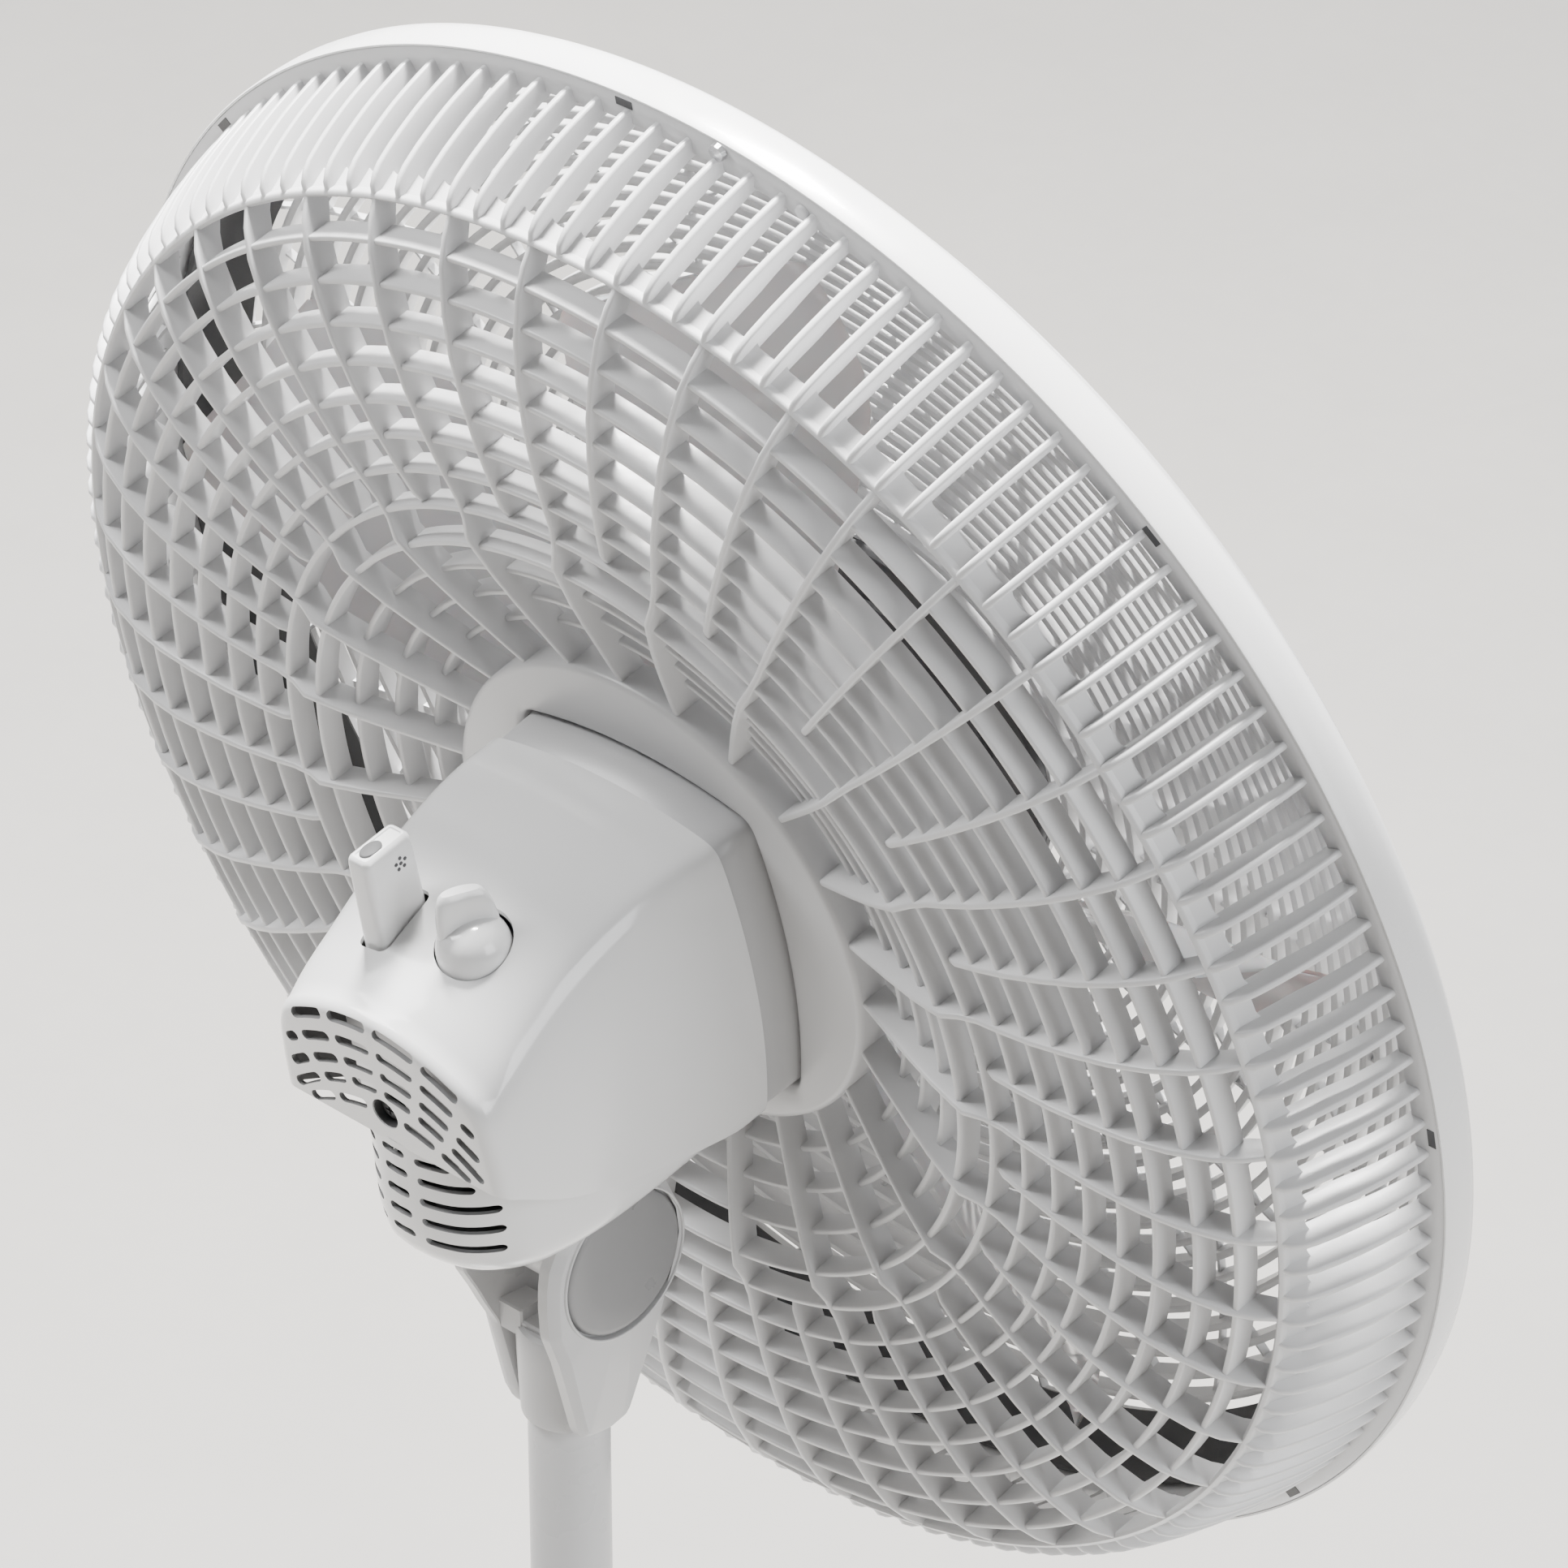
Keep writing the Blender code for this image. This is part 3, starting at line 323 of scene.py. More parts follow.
# ---------------------------------------------------------------- rear guard
RIB_EDGE = mm([(80, 1), (88, -1.8), (106, -7.8), (118.2, -11.6), (129, -14.3), (133.7, -15.3), (140, -13.6),
               (147, -13.3), (156, -14.3), (170, -15.3), (185, -15.3), (200, -14.5), (213, -12.4),
               (226.4, -8.5), (234.5, -4.2), (239.8, 0.2)])
SLATS = mm([(94.8, 2.4), (106.5, -2.6), (118.4, -7.4), (130, -13), (142.5, -13.1), (155, -13.4), (167, -14.1),
            (179, -14.4), (191.5, -14), (204, -13), (216.5, -10.1), (228.5, -6.2)])
SIDE_EDGE = mm([(239.6, -0.1), (243.4, 1), (246.4, 3.8), (249.6, 10), (252.8, 18.5), (255.7, 28),
                (257.6, 36.5), (258.8, 43), (259, 45.2)])


def build_rear_guard():
    guard = Solid()
    edge = np.array(RIB_EDGE)
    short = np.array([(0.1436, -0.0118)] + [p for p in RIB_EDGE if p[0] > 0.1440])
    for k in range(RIBS):
        profile = short if k % 2 else edge
        depths = np.full(len(profile), 0.0098)
        if k % 2:
            depths[0] = 0.0070
        radial_rib(guard, profile, RIB_PHASE - PITCH * k, 0.00105, depths, lean=(0.0, 1.0))
    for r, w in SLATS:
        guard.turn([(r + a, w + b) for a, b in plate_section(0.0010, 0.0082, 0.0010 * 1.25)], RIM_STEPS)
    side = spline(SIDE_EDGE, 15)
    depths = np.interp(side[:, 0], [0.2396, 0.2464, 0.2528, 0.2590], [0.0040, 0.0078, 0.0085, 0.0060])
    for k in range(3 * RIBS):
        radial_rib(guard, side, RIB_PHASE - PITCH * k / 3, 0.00115, depths)
    # belt: wall under the belt's edge, and the scalloped shelf that the side ribs grow from
    guard.turn(mm([(240.5, 10.2), (241.1, 1), (240.6, 0.2), (239.6, -0.2), (238.8, 0.3), (238.4, 1),
                   (238.6, 10.2)]), RIM_STEPS)
    steps = 8 * 3 * RIBS
    rows = []
    for k in range(steps):
        share = abs(((k / 8.0) % 1.0) - 0.5) * 2
        reach = 0.0030 + 0.0008 * share**2
        angle = RIB_PHASE + 360.0 * k / steps
        top = [(0.2400 + reach * t, 0.0004 + 2.5 * reach * t) for t in (0.0, 0.5, 1.0)]
        under = [(r - 0.0016, w + 0.0006) for r, w in reversed(top)]
        rows.append([polar(r, angle, w) for r, w in top + under])
    guard.rows(rows, loop=True)
    # rim band, and the flange with its turned-in edge round the motor's collar
    guard.turn(mm([(263.2, 45), (263.2, 53.6), (254, 53.6), (253.5, 45), (254.1, 44.3), (262.6, 44.3)]),
                   RIM_STEPS)
    rows = []
    for x, z in collar_outline(0.0006):
        reach = math.hypot(x, z)
        ux, uz = x / reach, z / reach
        loop = []
        for r, w in ((reach, 0.0060), (reach, 0.0006), (reach + 0.0010, -0.0006), (reach + 0.0026, -0.0010),
                     (0.0790, -0.0010), (0.0805, -0.0006), (0.0812, 0.0008), (0.0814, 0.0105),
                     (0.0798, 0.0105), (0.0794, 0.0030)):
            loop.append((ux * r, -w, uz * r))
        loop.append((ux * (reach + 0.0015), -0.0030, uz * (reach + 0.0015)))
        loop.append((ux * (reach + 0.0015), -0.0060, uz * (reach + 0.0015)))
        rows.append(loop)
    guard.rows(rows, loop=True)
    guard.make("rear_guard_grille", "guard", "head", place=MOTOR, replaces=("rear_guard",), sharp=50)


# ---------------------------------------------------------------- motor housing
def outline(half, top, bottom, crown, bulge, sag, radius, steps=56):
    """Closed cross-section of the housing, (x, above axis), with rounded corners."""
    shares = np.linspace(-1, 1, steps, endpoint=False)
    middle, reach = (top + bottom) / 2, (top - bottom) / 2
    over = [(-half * t, top + crown * (1 - t * t)) for t in shares]
    left = [(-half - bulge * (1 - t * t), middle - reach * t) for t in shares]
    under = [(half * t, bottom - sag * (1 - t * t)) for t in shares]
    right = [(half + bulge * (1 - t * t), middle + reach * t) for t in shares]
    points = np.array(over + left + under + right)
    spacing = 2 * (half + reach) * 2 / len(points)
    rounds = (radius / spacing) ** 2 * 1.6
    while rounds > 0:
        share = 0.25 * min(1.0, rounds)
        points = (1 - 2 * share) * points + share * (np.roll(points, 1, axis=0) + np.roll(points, -1, axis=0))
        rounds -= 1
    return points


# behind belt, half width, top, bottom, crown of the top, bulge of the sides, sag of the underside,
# corner radius
SHELL = mm([
    (14, 46.3, 49.2, -55.5, 6.2, 6, 5, 3.6),
    (30, 45, 50.7, -56.5, 5.6, 7.5, 4, 3.8),
    (45, 43.6, 50, -57, 5.2, 8.6, 3, 4.2),
    (62, 42.2, 46.8, -57.5, 5.2, 8.6, 3, 4.8),
    (77, 41.6, 42.2, -58, 6.2, 7.8, 3, 5.6),
    (92, 41.6, 35.2, -58.2, 8.6, 6.4, 4, 6.6),
    (104, 42.4, 28, -57, 11.6, 4.6, 6, 6.8),
    (111.5, 42.4, 22.5, -54.5, 13.6, 3.6, 6, 6.8),
])


def collar_outline(gap=0.0):
    shape = outline(*SHELL[0][1:8])
    return [p * (1 + gap / np.linalg.norm(p)) for p in shape]


def shell_rings(count=26):
    """Rings of the housing's skin, front to rear, ending in the rounded rear face."""
    stations = spline(SHELL, count)
    return [(row[0], outline(*row[1:8])) for row in stations]


def close_rear(rings, face, radius, crown):
    """Adds the rounded edge and the face at the rear."""
    behind, shape = rings[-1]
    centre = shape.mean(axis=0)
    depth = face - behind
    for step in range(1, 6):
        angle = math.pi / 2 * step / 5
        inset = radius * (1 - math.cos(angle))
        spread = shape - centre
        length = np.linalg.norm(spread, axis=1, keepdims=True)
        rings.append((behind + depth * math.sin(angle), centre + spread * (1 - inset / length)))
    base, flat = rings[-1]
    for share in (0.8, 0.6, 0.4, 0.2, 0.06):
        rings.append((base + crown * (1 - share**2), centre + (flat - centre) * share))
    return rings


# half plans of the gear cover, (x, behind the belt): the -X side and the +X side
COVER_PLAN = mm([(42.4, 14.4), (42.4, 40), (42, 60), (40.6, 77), (37.6, 91), (33.6, 101), (29.6, 106.5),
                 (25, 110.6), (20, 113.6), (14.5, 115.5), (8, 116.8), (0, 117.2)])
COVER_FAR = mm([(42.4, 14.4), (42, 40), (40.8, 56), (38.6, 69), (35.2, 80), (31.8, 88.4), (28.2, 95.6),
                (24.2, 102), (19.6, 107.8), (14.3, 112.8), (7.8, 116.2), (0, 117.2)])


def cover_slice(height, inset):
    """Plan of the gear cover at one height; its rear stands out a little half way down."""
    near, far = spline(COVER_PLAN, 60), spline(COVER_FAR, 60)
    out = float(np.interp(height, (-0.062, -0.052, -0.042, -0.032, -0.022, -0.004),
                          (0.0000, 0.0018, 0.0026, 0.0018, 0.0006, 0.0000)))
    sides = []
    for half in (far, near):
        points = []
        for x, behind in half:
            back = max(0.0, (behind - 0.0600) / 0.0572)
            points.append((x * (1 - inset / 0.0424), behind + back * out - back * inset, height))
        sides.append(points)
    return sides[0] + [(-x, y, z) for x, y, z in sides[1][-2::-1]]


def skin(name, rows):
    """Open skin over rows of points, closed at the last row."""
    count = len(rows[0])
    verts = [v for row in rows for v in row]
    faces = []
    for a in range(len(rows) - 1):
        for i in range(count):
            j = (i + 1) % count
            faces.append((a * count + i, a * count + j, (a + 1) * count + j, (a + 1) * count + i))
    faces.append(tuple((len(rows) - 1) * count + i for i in range(count)))
    mesh = bpy.data.meshes.new(name)
    mesh.from_pydata(verts, [], faces)
    return mesh


def pill(solid, path, half, low, high):
    """Rounded slot cutter that follows path, (x, above axis), from low to high behind the belt."""
    path = np.array(path, float)
    tangents = np.gradient(path, axis=0)
    tangents /= np.linalg.norm(tangents, axis=1, keepdims=True)
    left = np.stack([-tangents[:, 1], tangents[:, 0]], 1)
    up, down = path + left * half, path - left * half
    ends = []
    for centre, tangent, side in ((path[-1], tangents[-1], left[-1]), (path[0], -tangents[0], -left[0])):
        ends.append([centre + half * (side * math.cos(a) + tangent * math.sin(a))
                     for a in (0.52, 1.05, 1.57, 2.09, 2.62)])
    loop = list(up) + ends[0] + list(down[::-1]) + ends[1]
    solid.rows([[(p[0], low, p[1]) for p in loop], [(p[0], high, p[1]) for p in loop]])


def tool(name, solid, slot_shade=False):
    """Cutter; if asked, the walls it leaves get a mid-grey painted shade."""
    mesh = solid.mesh(name)
    if slot_shade:
        add_shell_looks(mesh)
        for face in mesh.polygons:
            face.material_index = 2
    return link(name, weld(mesh, join=False))


def add_shell_looks(mesh):
    for look in ("housing", "inner_wall_shade", "slot_wall_shade"):
        mesh.materials.append(LOOKS[look])


def cut(item, cutters, overlapping=False):
    """Cuts the object with each tool and returns the mesh; the object and the tools are removed."""
    for cutter in cutters:
        step = item.modifiers.new("cut", "BOOLEAN")
        step.operation = "DIFFERENCE"
        step.solver = "EXACT"
        step.use_self = overlapping
        step.object = cutter
    result = bpy.data.meshes.new_from_object(item.evaluated_get(bpy.context.evaluated_depsgraph_get()))
    for used in (item, *cutters):
        bpy.data.objects.remove(used)
    return result


def carve(mesh, cutters, thickness):
    """Thickens the skin inward, then cuts it; the inner faces get a near-black painted shade."""
    item = link("carving", weld(mesh, join=False))
    add_shell_looks(mesh)
    wall = item.modifiers.new("wall", "SOLIDIFY")
    wall.thickness = thickness
    wall.offset = -1.0
    # the inner faces take the painted shade
    wall.material_offset = 1
    return cut(item, cutters)


def rear_vents(solid):
    """Arched rows of slots that fan in towards the screw."""
    rows = ((0.0318, 8.5), (0.0234, 8.7), (0.0156, 9.8), (0.0084, 10.6), (0.0002, 9.4))
    for row, (height, drop) in enumerate(rows):
        near, far, limit = 0.0172 - 0.0019 * row, 0.0338 - 0.0032 * row, 0.0384
        columns = [(0.0021, near), (near + 0.0040, far), (far + 0.0036, limit)]
        if row == 4:
            columns = [(0.0082, 0.0192), (0.0226, 0.0325)]
        for low, high in columns:
            if high - low < 0.0012:
                continue
            for side in (-1, 1):
                xs = np.linspace(low + 0.0011, high - 0.0011, 8)
                pill(solid, [(side * x, height - drop * x * x) for x in xs], REAR_SLOT, 0.095, 0.135)


def gear_vents(solid):
    for row, end in enumerate((0.0187, 0.0243, 0.0295, 0.0297, 0.0292)):
        height = -0.0140 - 0.0075 * row
        pill(solid, [(x, height) for x in np.linspace(-0.0032, 0.0032, 6)], GEAR_SLOT, 0.088, 0.135)
        for side in (-1, 1):
            xs = np.linspace(0.0098, end, 10)
            pill(solid, [(side * x, height - 0.0006) for x in xs], GEAR_SLOT, 0.088, 0.135)


def wedge(rear_keeps, gap):
    """Cutter below (or above) the line where the rear housing and the gear cover part."""
    line = spline(mm([(0, -61), (14.7, -57.2), (28, -53), (61, -42), (92.4, -27.5), (116, -11.2), (126, -6)]),
                      24)
    far = -0.12 if rear_keeps else 0.12
    shift = -gap if rear_keeps else gap
    loop = [(y, z + shift) for y, z in line] + [(0.1400, line[-1][1] + shift), (0.1400, far), (-0.02, far),
                                               (-0.02, line[0][1] + shift)]
    solid = Solid()
    solid.rows([[(-0.1, y, z) for y, z in loop], [(0.1, y, z) for y, z in loop]])
    return solid


def prism(solid, loop, low, high):
    """Upright block over a loop of (x, behind the belt)."""
    solid.rows([[(x, y, z) for x, y in loop] for z in (low, high)])


def build_housings():
    rings = close_rear(shell_rings(), 0.1168, 0.0050, 0.0004)
    cuts = Solid()
    rear_vents(cuts)
    controls = Solid()
    prism(controls, circle(0.0120, 48, *KNOB_SPOT), 0.03, 0.08)
    slot = [(x + PULL_SPOT[0], y + PULL_SPOT[1]) for x, y in rounded_box(0.0060, 0.0110, 0.0030)]
    prism(controls, slot, 0.02, 0.08)
    seat = Solid()
    seat.rows([[(x, y, z) for x, z in circle(0.0052, 32)] for y in (0.1140, 0.14)])
    skin_rows = [[(x, behind, z) for x, z in shape] for behind, shape in rings]
    mesh = carve(skin("rear_shell", skin_rows), [tool("below", wedge(True, 0.0)), tool("vents", cuts, True),
                                                 tool("controls", controls)], SHELL_WALL)
    mesh = cut(link("seat_carving", mesh), [tool("seat", seat)])
    finish("rear_housing_shell", mesh, "housing", "head", MOTOR, ("rear_housing",), sharp=30, bevel=0.0004)

    rings = []
    for height in (-0.0040, -0.0120, -0.0220, -0.0320, -0.0420, -0.0485):
        rings.append(cover_slice(height, 0.0))
    for step in range(1, 9):
        turn = math.pi / 2 * step / 8
        rings.append(cover_slice(-0.0485 - 0.0135 * math.sin(turn), 0.0140 * (1 - math.cos(turn))))
    base = rings[-1]
    centre = np.array([0.0, 0.0600, base[0][2]])
    for share in (0.75, 0.5, 0.25, 0.05):
        rings.append([tuple(centre + (np.array(p) - centre) * share) for p in base])
    cuts = Solid()
    gear_vents(cuts)
    openings = Solid()
    prism(openings, circle(0.0195, 48, 0.0, BELT_FWD), -0.12, -0.05)
    prism(openings, circle(0.0055, 24, *INLET_SPOT), -0.09, -0.03)
    mesh = carve(skin("gear_shell", rings), [tool("above", wedge(False, 0.0006)), tool("vents", cuts, True),
                                             tool("openings", openings)], COVER_WALL)
    finish("gear_cover_shell", mesh, "housing", "head", MOTOR, ("gear_cover",), sharp=30, bevel=0.0004)

    collar = Solid()
    shape = outline(*SHELL[0][1:8])
    loops = []
    for behind, grow in ((0.0138, -0.0018), (0.0134, -0.0014), (-0.0050, -0.0006), (-0.0050, -0.0030),
                         (0.0136, -0.0034)):
        length = np.linalg.norm(shape, axis=1, keepdims=True)
        loops.append([(x, behind, z) for x, z in shape * (1 + grow / length)])
    collar.rows(loops, loop=True)
    # the collar's grey look is painted shade of its recess
    collar.make("motor_collar", "collar", "head", place=MOTOR, replaces=("front_housing",), sharp=50)
    disc = Solid()
    inner = shape * 0.955
    disc.rows([[(x, -0.0046, z) for x, z in inner], [(x, -0.0066, z) for x, z in inner]])
    disc.make("motor_front_wall", "dark_plastic", "head", place=MOTOR, slot="housing", bevel=0.0004)


def rounded_box(half_x, half_y, radius, steps=6):
    loop = []
    for cx, cy, start in ((1, 1, 0), (-1, 1, 90), (-1, -1, 180), (1, -1, 270)):
        for k in range(steps + 1):
            a = math.radians(start + 90 * k / steps)
            loop.append((cx * (half_x - radius) + radius * math.cos(a),
                         cy * (half_y - radius) + radius * math.sin(a)))
    return loop


# ---------------------------------------------------------------- front guard
FRONT_EDGE = mm([(257, 60.6), (251, 66.8), (240, 74), (215, 84.5), (190, 91.5), (160, 97.2), (130, 101),
                 (100, 103.2), (66, 104.5)])
FRONT_RINGS = 27
FRONT_LINES = 24
FRONT_SWEEP = 31.0             # degrees that each slanting line turns from rim to cap
FRONT_REACH = 0.1910


def build_front_guard():
    guard = Solid()
    edge = spline(FRONT_EDGE, 120)
    radii = np.linspace(0.0745, 0.2490, FRONT_RINGS)
    for r in radii:
        w = float(np.interp(-r, -edge[:, 0], edge[:, 1]))
        half = 0.00125
        section = [(r - half, w - 0.0058), (r - half, w - 0.0004), (r - 0.5 * half, w), (r + 0.5 * half, w),
                   (r + half, w - 0.0004), (r + half, w - 0.0058), (r + 0.4 * half, w - 0.0062),
                   (r - 0.4 * half, w - 0.0062)]
        guard.turn(section, 180)
    path = spline(FRONT_EDGE, 17)
    line_section = mm([(-0.6, -3), (-0.6, -0.3), (-0.3, 0), (0.3, 0), (0.6, -0.3), (0.6, -3)])
    for k in range(FRONT_LINES):
        for way in (-1, 1):
            rows = []
            for i, (r, w) in enumerate(path):
                share = (FRONT_EDGE[0][0] - r) / FRONT_REACH
                angle = 360.0 * k / FRONT_LINES + way * FRONT_SWEEP * (share - 0.5)
                step = path[min(i + 1, len(path) - 1)] - path[max(i - 1, 0)]
                turn = math.radians(way * FRONT_SWEEP) * (-step[0] / FRONT_REACH)
                a = math.radians(angle)
                radial = np.array([-math.cos(a), 0, math.sin(a)])
                around = np.array([math.sin(a), 0, math.cos(a)])
                ahead = np.array([0, -1.0, 0])
                along = radial * step[0] + around * (r * turn) + ahead * step[1]
                along /= np.linalg.norm(along)
                side = np.cross(along, ahead)
                side /= np.linalg.norm(side)
                middle = radial * r + ahead * (w - 0.0002)
                rows.append([middle + side * x + ahead * y for x, y in line_section])
            guard.rows(rows)
    guard.turn(mm([(60, 101.5), (60, 104.6), (60.7, 105.2), (66.3, 105), (67, 104.3), (67, 101.5)]), 180)
    guard.make("front_guard_grille", "guard", "head", place=MOTOR, replaces=("front_guard",), sharp=50)

    rim = Solid()
    rim.turn(mm([(263.7, 44.4), (264, 45.2), (264, 51), (263.7, 54.8), (262.8, 58), (261, 60.2),
                 (258.4, 61.4), (255.6, 61.6), (253.4, 60.8), (252.6, 59.4), (252.6, 55.6), (253.8, 54.5),
                 (262.8, 54.2), (263.1, 53), (263.1, 44.4)]), RIM_STEPS)
    rim.make("front_guard_rim", "rim", "head", place=MOTOR, sharp=60)
    band = Solid()
    band.turn(mm([(252, 58.6), (247.8, 64), (239, 69), (238.4, 68), (246.6, 62.8), (249.8, 58), (250.6, 50),
                  (251.2, 49.4), (252.2, 49.4), (252.6, 50)]), RIM_STEPS)
    band.make("rim_inner_band", "dark_plastic", "head", place=MOTOR, slot="dark_plastic")

    badge = Solid()
    badge.turn(mm([(0.4, 111.5), (30, 111.2), (50, 110.3), (62, 108.6), (65.2, 106.6), (65.8, 104),
                   (65.6, 100), (64.6, 98.5), (63, 98.5), (62.2, 99.6), (60, 101.2), (42, 101.3), (41, 100),
                   (39.2, 100), (38.4, 101.3), (0.4, 101.3)]), 120)
    badge.make("centre_cap", "dark_plastic", "head", place=MOTOR, replaces=("badge_cap",), slot="housing",
               sharp=40)

    # dark latches under the rim, each closed by a face at both ends
    clips = Solid()
    for k in range(8):
        angle = 45.0 * k + 0.6
        rows = []
        for r, w in ((0.2592, 0.0441), (0.2618, 0.0441), (0.2618, 0.0452), (0.2592, 0.0452)):
            rows.append([polar(r, angle + d, w) for d in (-0.7, -0.6, 0.6, 0.7)])
        clips.rows(rows, wrap=False, caps=False, loop=True)
        clips.faces.append(tuple(len(clips.verts) - 16 + i * 4 for i in range(4)))
        clips.faces.append(tuple(len(clips.verts) - 16 + i * 4 + 3 for i in range(4)))
    clips.make("rim_clips", "dark_plastic", "head", place=MOTOR, slot="dark_plastic")
    boss = Solid()
    post = circle(0.0024, 24)
    cx, _, cz = polar(0.2570, 75.6, 0)
    boss.rows([[(cx + x * g, -w, cz + z * g) for x, z in post] for w, g in
               ((0.0452, 1.0), (0.0438, 1.0), (0.0432, 0.88), (0.0430, 0.6))])
    boss.make("rim_boss", "guard", "head", place=MOTOR, sharp=50)


# ---------------------------------------------------------------- blades
def build_blades():
    blades = Solid()
    radii = np.concatenate([np.linspace(0.0300, 0.2000, 15), [0.2060, 0.2105, 0.2135, 0.2150]])
    across = 14
    for index in range(5):
        upper, lower = [], []
        for radius in radii:
            share = (radius - 0.0300) / 0.1850
            width = 29.0 - 6.0 * share
            trim = 9.0 * max(0.0, (radius - 0.165) / 0.050) ** 2
            tail = 5.0 * max(0.0, (radius - 0.198) / 0.017) ** 2.4
            depth = 1.0 - 0.30 * (1.0 - share) ** 2
            top, low = [], []
            for step in range(across + 1):
                chord = step / across
                degrees = 70.0 + trim + (width - trim - tail) * chord - 72.0 * index
                edge = min(chord, 1 - chord) / 0.12
                thick = 0.0011 * math.sqrt(min(1.0, 0.05 + edge)) * (1.25 - 0.5 * share)
                forward = 0.0380 + 0.0240 * depth * (1 - 2 * chord) + 0.0050 * math.sin(math.pi * chord)
                top.append(polar(radius, degrees, forward + thick))
                low.append(polar(radius, degrees, forward - thick))
            upper.append(top)
            lower.append(low)
        rows = [top + low[::-1] for top, low in zip(upper, lower)]
        blades.rows(rows)
    hub = mm([(8, 66), (20, 66.2), (27, 65), (31.2, 63), (33.6, 60), (34, 56), (34, 20.2), (33.6, 19.6),
              (32, 19.6), (31.6, 20.2), (31, 58), (28, 60.6), (20, 61.8), (12, 61), (10.6, 28), (6.2, 28)])
    blades.turn(hub, 96)
    for k in range(10):
        a = 36.0 * k + 9
        rows = []
        for r in (0.0100, 0.0314):
            rows.append([polar(r, a + d / r, w) for d, w in
                         ((-0.055, 0.0600), (0.055, 0.0600), (0.055, 0.0330), (-0.055, 0.0330))])
        blades.rows(rows)
    blades.make("fan_blade_set", "blade", "rotor", place=MOTOR, replaces=("fan_blades",), sharp=45)

    nut = Solid()
    steps = 120
    rows = []
    for k in range(steps):
        wave = 0.0005 * math.cos(math.radians(360.0 * k / steps) * 20)
        profile = [(0.0002, 0.0800), (0.0080, 0.0796), (0.0100, 0.0784), (0.0108 + wave, 0.0770),
                   (0.0126 + wave, 0.0700), (0.0132, 0.0680), (0.0130, 0.0667), (0.0050, 0.0667),
                   (0.0050, 0.0760), (0.0002, 0.0762)]
        rows.append([polar(r, 360.0 * k / steps, w) for r, w in profile])
    nut.rows(rows, loop=True)
    nut.make("blade_spinner_nut", "dark_plastic", "rotor", place=MOTOR, replaces=("blade_nut",), sharp=40)


# ---------------------------------------------------------------- controls and screws
def screw_head(name, radius, height, look, body, place, replaces):
    """Pan head on +Z with a cross recess, closed underneath by a short shank."""
    profile = [(0.0, height), (radius * 0.35, height * 0.985), (radius * 0.68, height * 0.86),
               (radius * 0.92, height * 0.55), (radius, height * 0.15), (radius, 0.0),
               (radius * 0.45, -0.0002), (radius * 0.45, -0.0030), (0.0, -0.0034)]
    solid = Solid()
    solid.rows(lathe(profile, 40), loop=True)
    cross = Solid()
    long, short = radius * 0.58, radius * 0.20 / 2
    for a, b in ((long, short), (short, long)):
        cross.rows([[(x * a * grow, y * b * grow, level) for x, y in ((-1, -1), (1, -1), (1, 1), (-1, 1))]
                    for level, grow in ((height + 0.001, 1.0), (height - height * 0.75, 0.55))])
    item = link("screw_carving", weld(solid.mesh(name), dissolve=True))
    finish(name, cut(item, [tool("cross", cross)], True), look, body, place, replaces, sharp=30)


